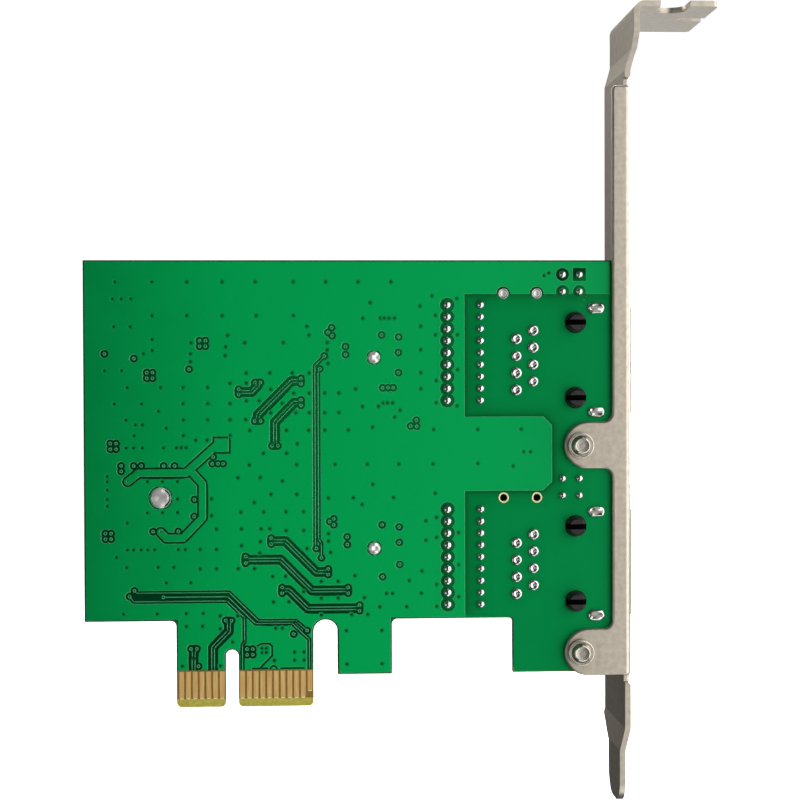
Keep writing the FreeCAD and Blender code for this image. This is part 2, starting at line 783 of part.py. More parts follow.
def make_port_shell(side, port):
    """Folded metal shell around a port, open to the board, with a front frame and two prongs."""
    body = new_body(side + "_port_shell")
    half = "shell_width / 2"
    outer = Drawing(body, side + "_shell_outer", "XZ_Plane", COMPONENT_FACE)
    outer.box("shell_rear_x", "shell_front_x", f"{port} - {half}", f"{port} + {half}")
    pad(body, outer, "shell_height", backwards=True)
    inner = Drawing(body, side + "_shell_inner", "XZ_Plane", f"{COMPONENT_FACE} - 1")
    inner.box("shell_rear_x + shell_sheet", "shell_front_x - shell_sheet",
              f"{port} - {half} + shell_sheet", f"{port} + {half} - shell_sheet")
    cut(body, inner, "shell_height + 1 - shell_sheet", backwards=False)
    mouth = Drawing(body, side + "_shell_mouth", "YZ_Plane", "shell_front_x + 1")
    mouth.box("shell_opening_low_y", "shell_opening_high_y",
              f"{port} - shell_opening_width / 2", f"{port} + shell_opening_width / 2")
    cut(body, mouth, "shell_sheet + 1.2", backwards=False)
    for index, turn in enumerate((1, -1)):
        wall = f"{port} + (shell_width - shell_sheet) / 2 * {turn}"
        prong = Drawing(body, f"{side}_prong_{index}", "XZ_Plane", COMPONENT_FACE)
        prong.box("prong_x - prong_width / 2", "prong_x + prong_width / 2",
                  f"{wall} - shell_sheet / 2", f"{wall} + shell_sheet / 2")
        pad(body, prong, f"{COMPONENT_FACE} - prong_end_y")
    leaf_front = "plate_inner_x - 0.6"
    for index, turn in enumerate((1, -1)):
        slits = Drawing(body, f"{side}_leaf_slits_{index}", "XY_Plane", f"{port} + ({half} + 1) * {turn}")
        for step in (0, 1):
            low = f"4.2 + 4.6 * {step}"
            slits.outline([
                (leaf_front, low),
                (f"{leaf_front} - spring_leaf_length", low),
                (f"{leaf_front} - spring_leaf_length", f"{low} + spring_leaf_gap"),
                (f"{leaf_front} - spring_leaf_gap", f"{low} + spring_leaf_gap"),
                (f"{leaf_front} - spring_leaf_gap", f"{low} + spring_leaf_width"),
                (f"{leaf_front} - spring_leaf_length", f"{low} + spring_leaf_width"),
                (f"{leaf_front} - spring_leaf_length", f"{low} + spring_leaf_width + spring_leaf_gap"),
                (leaf_front, f"{low} + spring_leaf_width + spring_leaf_gap"),
            ])
        cut(body, slits, "1 + shell_sheet", backwards=turn < 0)
    return body


def make_port_block(side, port):
    """Moulded block inside the shell: plug cavity, latch groove, contact comb and two split pegs."""
    body = new_body(side + "_port_block")
    half = "shell_width / 2 - shell_sheet"
    rear = "shell_rear_x + shell_sheet"
    front = "shell_front_x - shell_sheet"
    outer = Drawing(body, side + "_block_outer", "XZ_Plane", COMPONENT_FACE)
    outer.box(rear, front, f"{port} - ({half})", f"{port} + {half}")
    pad(body, outer, "shell_height - shell_sheet", backwards=True)

    for label, width, low, high in (
        ("cavity", "cavity_width", "cavity_low_y", "cavity_high_y"),
        ("latch", "latch_width", "latch_low_y", "cavity_low_y + 0.1"),
        ("latch_step", "latch_step_width", "latch_step_low_y", "latch_low_y + 0.1"),
        ("comb", "comb_width", "comb_low_y", "comb_high_y"),
    ):
        profile = Drawing(body, f"{side}_{label}", "YZ_Plane", f"{front} + 1")
        profile.box(low, high, f"{port} - {width} / 2", f"{port} + {width} / 2")
        depth = f"{front} + 1 - cavity_rear_x"
        if label == "comb":
            depth = f"{front} + 1 - pin_chamber_front_x + 0.5"
        cut(body, profile, depth, backwards=False)

    chamber = Drawing(body, side + "_pin_chamber", "XZ_Plane", f"{COMPONENT_FACE} - 1")
    chamber.box("pin_chamber_rear_x", "pin_chamber_front_x", f"{port} - comb_width / 2", f"{port} + comb_width / 2")
    cut(body, chamber, f"comb_high_y - {COMPONENT_FACE} + 1", backwards=False)

    for index, turn in enumerate((1, -1)):
        peg_z = f"{port} + peg_half_spacing * {turn}"
        peg = Drawing(body, f"{side}_peg_{index}", "XZ_Plane", COMPONENT_FACE)
        peg.circle("peg_x", peg_z, "peg_radius")
        pad(body, peg, f"{COMPONENT_FACE} - peg_end_y")
        slit = Drawing(body, f"{side}_peg_slit_{index}", "XZ_Plane", "peg_end_y - 1")
        slit.box("peg_x - peg_radius - 1", "peg_x + peg_radius + 1",
                 f"{peg_z} - peg_slit / 2", f"{peg_z} + peg_slit / 2")
        cut(body, slit, "1 + board_thickness", backwards=False)
    return body


def make_port_contacts(side, port):
    """Eight bent wires: a pin through the board, a run over the cavity and a spring end in it."""
    middle = value(port)
    width = value("wire_width")
    thick = value("wire_thickness")
    level = value("wire_run_y")
    foot = value(SOLDER_FACE)
    bend = value("wire_bend_x")
    tip = vec(value("wire_tip_x"), value("wire_tip_y"), 0)
    wires = []
    for index in range(8):
        rear = index % 2 == 1
        pin_x = value("rear_pin_x" if rear else "front_pin_x")
        pin_z = middle + value("pin_stagger") * (3.5 - index)
        end_z = middle + value("wire_pitch") * (3.5 - index)
        half = width / 2
        upright = block(pin_x - half, pin_x + half, foot, level + thick, pin_z - half, pin_z + half)
        straight = value("pin_chamber_front_x") + 1.5
        slant = prism([
            vec(pin_x - half, level, pin_z - half),
            vec(pin_x - half, level, pin_z + half),
            vec(straight, level, end_z + half),
            vec(straight, level, end_z - half),
        ], vec(0, thick, 0))
        spring = prism([
            vec(straight, level, end_z - half),
            vec(bend, level, end_z - half),
            vec(tip.x, tip.y, end_z - half),
            vec(tip.x + 0.2, tip.y - thick, end_z - half),
            vec(bend + 0.6, level + thick * 0.4, end_z - half),
            vec(bend + 0.2, level + thick, end_z - half),
            vec(straight, level + thick, end_z - half),
        ], vec(0, 0, width))
        wires.append(upright.fuse([slant, spring]).removeSplitter())
    return place_parts(side + "_port_contacts", Part.makeCompound(wires))


# ---------------------------------------------------------------- indicator lamps

def make_lamp_holder(side, port):
    body = new_body(side + "_lamp_holder")
    middle = f"{port} + lamp_rise"
    half = "holder_width / 2"
    outer = Drawing(body, side + "_holder_outer", "XZ_Plane", COMPONENT_FACE)
    outer.box("holder_rear_x", "holder_front_x", f"{middle} - {half}", f"{middle} + {half}")
    pad(body, outer, "holder_height", backwards=True)
    bores = Drawing(body, side + "_holder_bores", "YZ_Plane", "holder_front_x + 1")
    for level in (0, 1):
        bores.circle(f"lamp_low_y + lamp_spacing * {level}", middle, "lamp_radius")
    cut(body, bores, "holder_front_x + 1 - holder_well_front_x", backwards=False)
    well = Drawing(body, side + "_holder_well", "XZ_Plane", f"{COMPONENT_FACE} - 1")
    well.box("holder_rear_x - 1", "holder_well_front_x", f"{middle} - {half} + 0.5", f"{middle} + {half} - 0.5")
    last = cut(body, well, "holder_height", backwards=False)

    def is_top_front(edge):
        return is_along(edge, "z") and edge_near(edge, x=value("holder_front_x"), y=value(f"{COMPONENT_FACE} + holder_height"))

    round_edges(body, last, side + "_holder_edge", "0.6", is_top_front, kind="Chamfer")
    return body


def make_lamps(name, level):
    """The round-ended lamps of one colour, one beside each port."""
    lamps = []
    for port in PORTS.values():
        axis_y = value(f"lamp_low_y + lamp_spacing * {level}")
        axis_z = value(f"{port} + lamp_rise")
        rear = value("holder_well_front_x")
        front = value("lamp_front_x")
        radius = value("lamp_radius")
        barrel = Part.makeCylinder(radius, front - rear, vec(rear, axis_y, axis_z), vec(1, 0, 0))
        dome = Part.makeSphere(radius, vec(front, axis_y, axis_z))
        lamps.append(barrel.fuse(dome).removeSplitter())
    return place_parts(name, Part.makeCompound(lamps))


def make_lamp_leads(side, port):
    """Two leads from each lamp, back into the holder's well and down through the board."""
    half = value("lamp_lead") / 2
    rear = value("holder_well_front_x")
    foot = value(SOLDER_FACE)
    leads = []
    for level in (0, 1):
        lead_x = value(f"lamp_rear_lead_x + lamp_lead_pitch * {1 - level}")
        axis_y = value(f"lamp_low_y + lamp_spacing * {level}")
        for turn in (0.5, -0.5):
            down_z = value(f"{port} + lamp_rise + lamp_lead_pitch * {turn}")
            inner_z = value(f"{port} + lamp_rise + lamp_radius * {turn}")
            low_z = min(down_z, inner_z) - half
            high_z = max(down_z, inner_z) + half
            post = block(lead_x - half, lead_x + half, foot, axis_y + half, down_z - half, down_z + half)
            jog = block(lead_x - half, lead_x + half, axis_y - half, axis_y + half, low_z, high_z)
            reach = block(lead_x - half, rear, axis_y - half, axis_y + half, inner_z - half, inner_z + half)
            leads.append(post.fuse([jog, reach]).removeSplitter())
    return place_parts(side + "_lamp_leads", Part.makeCompound(leads))


# ---------------------------------------------------------------- transformer modules

def make_transformer(side, port):
    body = new_body(side + "_transformer")
    middle = f"{port} + module_rise"
    centre = "module_left_pin_x + module_row_spacing / 2"
    base = f"{COMPONENT_FACE} + module_standoff"
    outer = Drawing(body, side + "_module_outer", "XZ_Plane", base)
    outer.box(f"{centre} - module_width / 2", f"{centre} + module_width / 2",
              f"{middle} - module_length / 2", f"{middle} + module_length / 2")
    last = pad(body, outer, "module_height", backwards=True)

    def is_top_edge(edge):
        middle_point = edge.valueAt((edge.FirstParameter + edge.LastParameter) / 2)
        return abs(middle_point.y - value(f"{base} + module_height")) < 0.01

    round_edges(body, last, side + "_module_edge", "module_edge", is_top_edge, kind="Chamfer")
    feet = Drawing(body, side + "_module_feet", "XZ_Plane", COMPONENT_FACE)
    for across in (1, -1):
        for up in (1, -1):
            foot_x = f"{centre} + (module_width / 2 - 1) * {across}"
            foot_z = f"{middle} + (module_length / 2 - 1) * {up}"
            feet.circle(foot_x, foot_z, "0.5")
    pad(body, feet, "module_standoff", backwards=True)
    dot = Drawing(body, side + "_module_dot", "XZ_Plane", f"{base} + module_height + 1")
    dot.circle(f"{centre} - 3", f"{middle} + 6.4", "0.6")
    cut(body, dot, "1.2", backwards=True)
    return body


def make_transformer_pins(side):
    top = value(f"{COMPONENT_FACE} + module_standoff")
    foot = value(SOLDER_FACE)
    radius = value("lead_radius")
    pins = []
    for x, z in LEADS[side + "_module"]:
        pins.append(block(value(x) - radius, value(x) + radius, foot, top, value(z) - radius, value(z) + radius))
    return place_parts(side + "_transformer_pins", Part.makeCompound(pins))


# ---------------------------------------------------------------- solder on the solder side

def make_lead_joints(name, groups):
    """A cone of solder over each lead of some groups."""
    face = value(SOLDER_FACE)
    joints = []
    for group in groups:
        for x, z in LEADS[group]:
            joints.append(Part.makeCone(value("joint_foot_radius"), value("joint_tip_radius"),
                                        value("joint_height"), vec(value(x), face, value(z)), vec(0, -1, 0)))
    return place_parts(name, Part.makeCompound(joints))


def make_prong_joints():
    """A flat pool of solder round each prong of the port shells."""
    face = value(SOLDER_FACE)
    length = value("prong_joint_length")
    width = value("prong_joint_width")
    height = value("prong_joint_height")
    prong = value("prong_width") / 2
    sheet = value("shell_sheet") / 2
    x = value("prong_x")
    joints = []
    for port in PORTS.values():
        for turn in (1, -1):
            z = value(f"{port} + (shell_width - shell_sheet) / 2 * {turn}")
            straight = (length - width) / 2
            pool = block(x - straight, x + straight, face - height, face, z - width / 2, z + width / 2)
            for end in (x - straight, x + straight):
                pool = pool.fuse(Part.makeCylinder(width / 2, height, vec(end, face, z), vec(0, -1, 0)))
            hole = block(x - prong, x + prong, face - height - 1, face + 1, z - sheet, z + sheet)
            joints.append(pool.removeSplitter().cut(hole))
    return place_parts("prong_solder_joints", Part.makeCompound(joints))


# ---------------------------------------------------------------- chips

def make_chip(name, x, z, size, standoff, height, edge):
    body = new_body(name)
    base = f"{COMPONENT_FACE} + {standoff}"
    outer = Drawing(body, name + "_outer", "XZ_Plane", base)
    outer.box(f"{x} - {size} / 2", f"{x} + {size} / 2", f"{z} - {size} / 2", f"{z} + {size} / 2")
    last = pad(body, outer, height, backwards=True)

    def is_top_edge(edge_curve):
        middle_point = edge_curve.valueAt((edge_curve.FirstParameter + edge_curve.LastParameter) / 2)
        return abs(middle_point.y - value(f"{base} + {height}")) < 0.01

    round_edges(body, last, name + "_edge", edge, is_top_edge, kind="Chamfer")
    mark = Drawing(body, name + "_mark", "XZ_Plane", f"{base} + {height} + 1")
    mark.circle(f"{x} - {size} * 0.36", f"{z} + {size} * 0.36", f"{size} * 0.04")
    cut(body, mark, "1.08", backwards=True)
    return body


def gull_wing(reach, rise, sheet, width):
    """A lead that leaves a chip along +X at a height, steps down and ends flat on the board."""
    knee = reach * 0.35
    toe = reach * 0.6
    profile = [
        vec(0, rise, 0), vec(knee, rise, 0), vec(toe, sheet, 0), vec(reach, sheet, 0), vec(reach, 0, 0),
        vec(toe - sheet * 0.6, 0, 0), vec(knee - sheet * 0.6, rise - sheet, 0), vec(0, rise - sheet, 0),
    ]
    lead = prism(profile, vec(0, 0, width))
    lead.translate(vec(0, 0, -width / 2))
    return lead


def leads_round(x, z, half_x, half_z, pitch, counts, wing):
    """Copies of a lead on the sides of a chip: counts are for +X, -X, +Z and -Z."""
    face = value(COMPONENT_FACE)
    leads = []
    for turn, count in zip((0, 180, 90, 270), counts):
        reach = half_x if turn in (0, 180) else half_z
        for index in range(count):
            lead = wing.copy()
            lead.translate(vec(reach, 0, pitch * (index - (count - 1) / 2)))
            lead.rotate(vec(0, 0, 0), vec(0, -1, 0), turn)
            lead.translate(vec(x, face, z))
            leads.append(lead)
    return leads


def make_bridge_leads():
    half = value("bridge_size") / 2
    wing = gull_wing(value("bridge_lead_reach"), value("bridge_height") * 0.5, value("bridge_lead_sheet"),
                     value("bridge_lead_width"))
    leads = leads_round(value("bridge_x"), value("bridge_z"), half, half, value("bridge_lead_pitch"),
                        (16, 16, 16, 16), wing)
    return place_parts("bridge_chip_leads", Part.makeCompound(leads))


def make_controller_pads(name, z):
    """Short metal lands that show along the four sides of a leadless chip."""
    face = value(COMPONENT_FACE)
    half = value("controller_size") / 2
    width = value("controller_pad_width")
    thick = value("controller_pad_thickness")
    land = block(0, 0.25, 0, thick, -width / 2, width / 2)
    lands = leads_round(value("controller_x"), value(z), half, half, value("controller_pad_pitch"),
                        (10, 10, 10, 10), land)
    return place_parts(name, Part.makeCompound(lands))


# ---------------------------------------------------------------- small parts

# Places on the component side, (x, z) from the key slot, turned by a quarter where third is 1.
CRYSTALS = [(1.5, 30.5, 1), (21.2, 62.0, 0), (21.2, 33.9, 0)]
COILS = [(-15.5, 50.5), (2.8, 58.6)]
CANS = [(-16.6, 60.6), (-7.4, 60.6), (30.8, 36.3)]
MEMORIES = [(10.6, 50.4, 0), (10.6, 22.0, 0), (-13.2, 18.4, 1)]
REGULATORS = [(-4.8, 50.4, 0), (10.8, 40.6, 0)]
LARGE_CAPS = [
    (-20.0, 44.6, 1), (-9.8, 53.8, 1), (2.4, 51.2, 0), (11.0, 60.4, 1), (29.4, 62.8, 0),
    (12.0, 31.4, 1), (28.6, 42.6, 0), (40.5, 34.6, 1), (40.5, 64.4, 0), (4.4, 18.6, 0),
]
SMALL_CAPS = (
    [(14.0, 47.4 + 2.2 * step, 1) for step in range(5)]
    + [(14.0, 19.0 + 2.2 * step, 1) for step in range(5)]
    + [(28.2, 48.6 + 2.2 * step, 1) for step in range(4)]
    + [(28.0, 18.2 + 2.2 * step, 1) for step in range(5)]
    + [(-17.5 + 2.4 * step, 42.4, 0) for step in range(7)]
    + [(-6.2 + 2.4 * step, 14.8, 0) for step in range(8)]
    + [(-3.5 + 2.0 * step, 8.6, 1) for step in range(2)]
    + [(3.0 + 2.0 * step, 8.6, 1) for step in range(4)]
)
RESISTORS = (
    [(17.6 + 2.2 * step, 44.9, 1) for step in range(4)]
    + [(17.6 + 2.2 * step, 16.6, 1) for step in range(4)]
    + [(-1.6, 18.0 + 2.0 * step, 0) for step in range(4)]
    + [(6.0, 24.6 + 1.9 * step, 0) for step in range(7)]
    + [(-20.2, 24.0 + 2.0 * step, 0) for step in range(7)]
    + [(34.6 + 2.2 * step, 39.6, 1) for step in range(4)]
    + [(46.4, 33.0 + 2.0 * step, 0) for step in range(3)]
    + [(46.4, 62.2 + 1.8 * step, 0) for step in range(2)]
)


def turned(length, width, quarter):
    return (width, length) if quarter else (length, width)


def centred(x, z, length, width, low, high):
    """A box round a place on the component side, between two heights above the board."""
    face = value(COMPONENT_FACE)
    return block(x - length / 2, x + length / 2, face + low, face + high, z - width / 2, z + width / 2)


def make_crystals():
    """Metal cans of the clock crystals, each with round ends, and their insulating bases."""
    cans = []
    bases = []
    for x, z, quarter in CRYSTALS:
        length, width = turned(value("crystal_length"), value("crystal_width"), quarter)
        base = value("crystal_base")
        bases.append(centred(x, z, length + 0.8, width + 0.4, 0, base))
        can = centred(x, z, length, width, base, value("crystal_height"))
        upright = [edge for edge in can.Edges if is_along(edge, "y")]
        can = can.makeFillet(min(length, width) / 2 - 0.05, upright)
        cans.append(can)
    place_parts("crystal_cans", Part.makeCompound(cans))
    place_parts("crystal_bases", Part.makeCompound(bases))


def make_coils():
    """Square shielded power coils with chamfered corners and a round core face."""
    size = value("coil_size")
    height = value("coil_height")
    bodies = []
    terminals = []
    for x, z in COILS:
        body = centred(x, z, size, size, 0.15, height)
        upright = [edge for edge in body.Edges if is_along(edge, "y")]
        body = body.makeChamfer(1.1, upright)
        face = value(COMPONENT_FACE)
        groove = Part.makeCylinder(size * 0.36, 0.3, vec(x, face + height - 0.3, z), vec(0, 1, 0))
        core = Part.makeCylinder(size * 0.27, 0.3, vec(x, face + height - 0.3, z), vec(0, 1, 0))
        bodies.append(body.cut(groove.cut(core)))
        for turn in (1, -1):
            terminals.append(centred(x + turn * (size / 2 - 0.8), z, 1.6, 2.2, 0, 0.15))
    place_parts("power_coils", Part.makeCompound(bodies))
    place_parts("power_coil_terminals", Part.makeCompound(terminals))


def make_can_capacitors():
    """Aluminium can capacitors on square plastic bases with two cut corners."""
    face = value(COMPONENT_FACE)
    base_height = value("can_base_height")
    half = value("can_base") / 2
    cans = []
    bases = []
    for x, z in CANS:
        can = Part.makeCylinder(value("can_radius"), value("can_height"), vec(x, face + base_height, z), vec(0, 1, 0))
        rims = [edge for edge in can.Edges if edge.BoundBox.YMin > face + base_height + 1 and not is_along(edge, "y")]
        cans.append(can.makeFillet(0.35, rims))
        corner = 1.4
        outline = [
            vec(x - half, face, z - half), vec(x + half, face, z - half), vec(x + half, face, z + half - corner),
            vec(x + half - corner, face, z + half), vec(x - half + corner, face, z + half),
            vec(x - half, face, z + half - corner),
        ]
        bases.append(prism(outline, vec(0, base_height, 0)))
    place_parts("can_capacitors", Part.makeCompound(cans))
    place_parts("can_capacitor_bases", Part.makeCompound(bases))


def make_memories():
    """Eight-lead memory chips and their leads."""
    bodies = []
    leads = []
    length = value("memory_length")
    width = value("memory_width")
    wing = gull_wing(1.05, 0.75, 0.18, 0.42)
    for x, z, quarter in MEMORIES:
        across, up = turned(width, length, quarter)
        body = centred(x, z, across, up, 0.1, value("memory_height"))
        top = [edge for edge in body.Edges if edge.BoundBox.YMin > value(COMPONENT_FACE) + 1]
        bodies.append(body.makeChamfer(0.2, top))
        counts = (0, 0, 4, 4) if quarter else (4, 4, 0, 0)
        leads += leads_round(x, z, width / 2, width / 2, 1.27, counts, wing)
    place_parts("memory_chips", Part.makeCompound(bodies))
    place_parts("memory_chip_leads", Part.makeCompound(leads))


def make_regulators():
    """Three-lead voltage regulators with a wide cooling tab on the other side."""
    bodies = []
    leads = []
    length = value("regulator_length")
    width = value("regulator_width")
    face = value(COMPONENT_FACE)
    wing = gull_wing(1.7, 0.9, 0.28, 0.7)
    tab = gull_wing(1.7, 0.9, 0.28, 3.0)
    for x, z, quarter in REGULATORS:
        body = centred(x, z, length, width, 0.08, value("regulator_height"))
        top = [edge for edge in body.Edges if edge.BoundBox.YMin > face + 1]
        bodies.append(body.makeChamfer(0.25, top))
        leads += leads_round(x, z, width / 2, width / 2, 2.3, (0, 0, 0, 3), wing)
        leads += leads_round(x, z, width / 2, width / 2, 2.3, (0, 0, 1, 0), tab)
    place_parts("voltage_regulators", Part.makeCompound(bodies))
    place_parts("voltage_regulator_leads", Part.makeCompound(leads))


def make_chip_parts(name, places, length, width, height):
    """Ceramic blocks with a metal cap on each end, as two nodes: the blocks and the caps."""
    cap = value("end_cap")
    blocks = []
    caps = []
    for x, z, quarter in places:
        long_x, long_z = turned(length - 2 * cap, width, quarter)
        blocks.append(centred(x, z, long_x, long_z, 0.02, height - 0.02))
        for turn in (1, -1):
            shift = turn * (length - cap) / 2
            across, up = turned(cap, width, quarter)
            step_x, step_z = turned(shift, 0, quarter)
            caps.append(centred(x + step_x, z + step_z, across, up, 0, height))
    place_parts(name, Part.makeCompound(blocks))
    place_parts(name + "_ends", Part.makeCompound(caps))


# ---------------------------------------------------------------- the card

make_circuit_board()
make_edge_contacts("solder_side_contacts", SOLDER_FACE, backwards=False)
make_edge_contacts("component_side_contacts", COMPONENT_FACE, backwards=True)
make_bracket()
make_bracket_screws()
for port_side, port_place in PORTS.items():
    make_port_shell(port_side, port_place)
    make_port_block(port_side, port_place)
    make_port_contacts(port_side, port_place)
    make_lamp_holder(port_side, port_place)
    make_lamp_leads(port_side, port_place)
    make_transformer(port_side, port_place)
    make_transformer_pins(port_side)
make_lamps("link_lamps", 0)
make_lamps("activity_lamps", 1)
make_lead_joints("port_solder_joints", ("upper_port", "lower_port"))
make_lead_joints("lamp_solder_joints", ("upper_lamp", "lower_lamp"))
make_lead_joints("transformer_solder_joints", ("upper_module", "lower_module"))
make_prong_joints()
make_chip("bridge_chip", "bridge_x", "bridge_z", "bridge_size", "bridge_standoff", "bridge_height", "0.25")
make_bridge_leads()
for label, height in (("upper", "upper_controller_z"), ("lower", "lower_controller_z")):
    make_chip(label + "_controller", "controller_x", height, "controller_size", "0.02", "controller_height", "0.08")
    make_controller_pads(label + "_controller_pads", height)
make_crystals()
make_coils()
make_can_capacitors()
make_memories()
make_regulators()
make_chip_parts("large_ceramic_capacitors", LARGE_CAPS, value("large_cap_length"), value("large_cap_width"),
                value("large_cap_height"))
make_chip_parts("small_ceramic_capacitors", SMALL_CAPS, value("small_cap_length"), value("small_cap_width"),
                value("small_cap_height"))
make_chip_parts("resistors", RESISTORS, value("resistor_length"), value("resistor_width"), value("resistor_height"))
doc.recompute()


# ---------------------------------------------------------------- check and write

def sub_parts():
    """Every body and every sub-part that stands on its own."""
    return [item for item in doc.Objects if item.TypeId in ("PartDesign::Body", "Part::Feature")]


for item in doc.Objects:
    if "Invalid" in item.State or "Error" in item.State:
        raise RuntimeError(f"{item.Name} is {item.State}")

os.makedirs("parts", exist_ok=True)
for item in sub_parts():
    if item.Shape.isNull() or not item.Shape.isValid() or not item.Shape.Solids:
        raise RuntimeError(item.Label + " has no sound shape")
    item.Shape.exportStep(f"parts/{item.Label}.step")
    print(item.Label, len(item.Shape.Solids), round(item.Shape.Volume, 2))
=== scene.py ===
# %% [markdown]
# # A network interface card, dressed
# The solids come packed and fixed: a board, a folded bracket, two ports and their small parts. This
# lesson adds what a solid model leaves out: the thin copper and lacquer on the board's two faces, the
# solder, and every finish. Each piece is worked out in millimetres in the card's own frame, where +Z
# runs up from the contact edge, +X runs to the bracket and -Y is the side with the solder.

# %% Load the fixed frame
import math

import bpy
import numpy as np
from mathutils import Matrix, Vector
from mathutils.geometry import delaunay_2d_cdt


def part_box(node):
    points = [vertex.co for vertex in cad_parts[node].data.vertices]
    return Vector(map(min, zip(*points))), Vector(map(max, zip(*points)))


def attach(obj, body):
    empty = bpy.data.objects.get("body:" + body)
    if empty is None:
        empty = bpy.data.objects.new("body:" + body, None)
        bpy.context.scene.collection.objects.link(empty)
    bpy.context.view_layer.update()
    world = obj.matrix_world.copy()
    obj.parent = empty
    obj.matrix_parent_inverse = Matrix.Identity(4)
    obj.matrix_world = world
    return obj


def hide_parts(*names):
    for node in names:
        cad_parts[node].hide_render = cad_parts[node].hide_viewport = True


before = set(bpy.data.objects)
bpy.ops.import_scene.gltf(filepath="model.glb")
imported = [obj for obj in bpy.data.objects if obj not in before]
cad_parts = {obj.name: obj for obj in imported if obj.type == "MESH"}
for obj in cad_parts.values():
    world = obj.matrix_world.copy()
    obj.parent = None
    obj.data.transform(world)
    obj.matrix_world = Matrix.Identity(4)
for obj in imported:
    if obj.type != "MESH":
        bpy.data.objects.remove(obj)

for spare in ("Cube", "Light", "Camera"):  # what an empty Blender file starts with
    if spare in bpy.data.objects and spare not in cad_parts:
        bpy.data.objects.remove(bpy.data.objects[spare])

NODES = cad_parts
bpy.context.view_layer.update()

# %% [markdown]
# ## Colours and shader nodes
# A finish is easiest to keep true when its colours are written the way a paint chart gives them, as
# sRGB hex values. The renderer works in linear light, so one function turns them round. One more
# small function adds a shader node, sets it and links it, so each finish below reads as a list.

# %% Colour and node helpers
MM = 0.001
RNG = np.random.default_rng(7)


def linear(hex_colour):
    """sRGB hex to linear RGBA: v / 12.92 below 0.04045, otherwise ((v + 0.055) / 1.055) to the power 2.4."""
    parts = [int(hex_colour[i:i + 2], 16) / 255 for i in (1, 3, 5)]
    return [v / 12.92 if v <= 0.04045 else ((v + 0.055) / 1.055) ** 2.4 for v in parts] + [1.0]


def add(tree, kind, settings=None, inputs=None, links=None):
    """Add one shader node, with settings on it, values on its sockets and links into its sockets."""
    made = tree.nodes.new(kind)
    for key, setting in (settings or {}).items():
        setattr(made, key, setting)
    for key, number in (inputs or {}).items():
        made.inputs[key].default_value = number
    for key, source in (links or {}).items():
        tree.links.new(source, made.inputs[key])
    return made


def finish_named(name, **shader):
    """A new material with its Principled shader, whose constants sit on the shader's own sockets."""
    material = bpy.data.materials.new(name)
    material.use_nodes = True
    tree = material.node_tree
    principled = tree.nodes["Principled BSDF"]
    for key, number in shader.items():
        principled.inputs[key.replace("_", " ")].default_value = number
    return material, tree, principled


def ramp(tree, factor, stops):
    """A colour ramp through (position, hex colour) stops."""
    made = add(tree, "ShaderNodeValToRGB", links={"Fac": factor})
    elements = made.color_ramp.elements
    while len(elements) < len(stops):
        elements.new(0.5)
    for element, (position, colour) in zip(elements, stops):
        element.position = position
        element.color = linear(colour)
    return made.outputs["Color"]


def coloured(tree, principled, factor, stops, socket="Base Color"):
    """Feed one of the shader's sockets from a ramp."""
    tree.links.new(ramp(tree, factor, stops), principled.inputs[socket])


def grain(tree, per_mm, detail=2.0, stretch=(1, 1, 1)):
    """Noise on the piece's own coordinates: per_mm is about how many grains lie on one millimetre."""
    place = add(tree, "ShaderNodeTexCoord").outputs["Object"]
    fitted = add(tree, "ShaderNodeMapping", inputs={"Scale": stretch}, links={"Vector": place})
    return add(tree, "ShaderNodeTexNoise", inputs={"Scale": per_mm / MM, "Detail": detail},
               links={"Vector": fitted.outputs["Vector"]}).outputs["Fac"]


def bump(tree, principled, height, depth_mm):
    """Bump from a height pattern, as deep as depth_mm."""
    made = add(tree, "ShaderNodeBump", inputs={"Strength": 1.0, "Distance": depth_mm * MM},
               links={"Height": height})
    tree.links.new(made.outputs["Normal"], principled.inputs["Normal"])


# %% [markdown]
# ## Finishes of the board
# Solder mask is a thin green lacquer. Over copper it looks light, because the metal throws the light
# back through it. Over bare laminate it looks deep, because the light sinks into the glass and resin.
# So the mask over copper is one finish and the mask over laminate is another, whose colour follows an
# attribute: the distance to the nearest copper. Its dark end is partly that depth and partly painted
# shade in the narrow clearances, and on the solder side painted shade also darkens it round the leads.

# %% Solder mask, laminate and gold
def make_mask_over_copper():
    """Lacquer over copper: its colour is painted darker towards the left end, as shade where the light falls
    off, and a little darker at the far right, under a random mottle.
    """
    material, tree, shader = finish_named("solder_mask_over_copper", Roughness=0.3, IOR=1.5,
                                          Specular_IOR_Level=0.08)
    place = add(tree, "ShaderNodeTexCoord").outputs["Object"]
    along = add(tree, "ShaderNodeSeparateXYZ", links={"Vector": place}).outputs["X"]
    # Painted shade: the colour darkens along X towards the board's left end
    painted_side_shade = add(tree, "ShaderNodeMapRange", inputs={"From Min": -22 * MM, "From Max": 56 * MM},
                       links={"Value": along}).outputs["Result"]
    mottled = add(tree, "ShaderNodeMath", {"operation": "MULTIPLY_ADD"}, {1: 0.16, 2: -0.08},
                  {0: grain(tree, 0.12, 3.0)}).outputs[0]
    painted_shade_and_mottle = add(tree, "ShaderNodeMath", {"operation": "ADD"}, links={0: painted_side_shade, 1: mottled})
    coloured(tree, shader, painted_shade_and_mottle.outputs[0],
             [(0.0, "#009449"), (0.3, "#00B259"), (0.75, "#00B05A"), (1.0, "#00A456")])
    bump(tree, shader, grain(tree, 2.5, 2.0), 0.002)
    return material


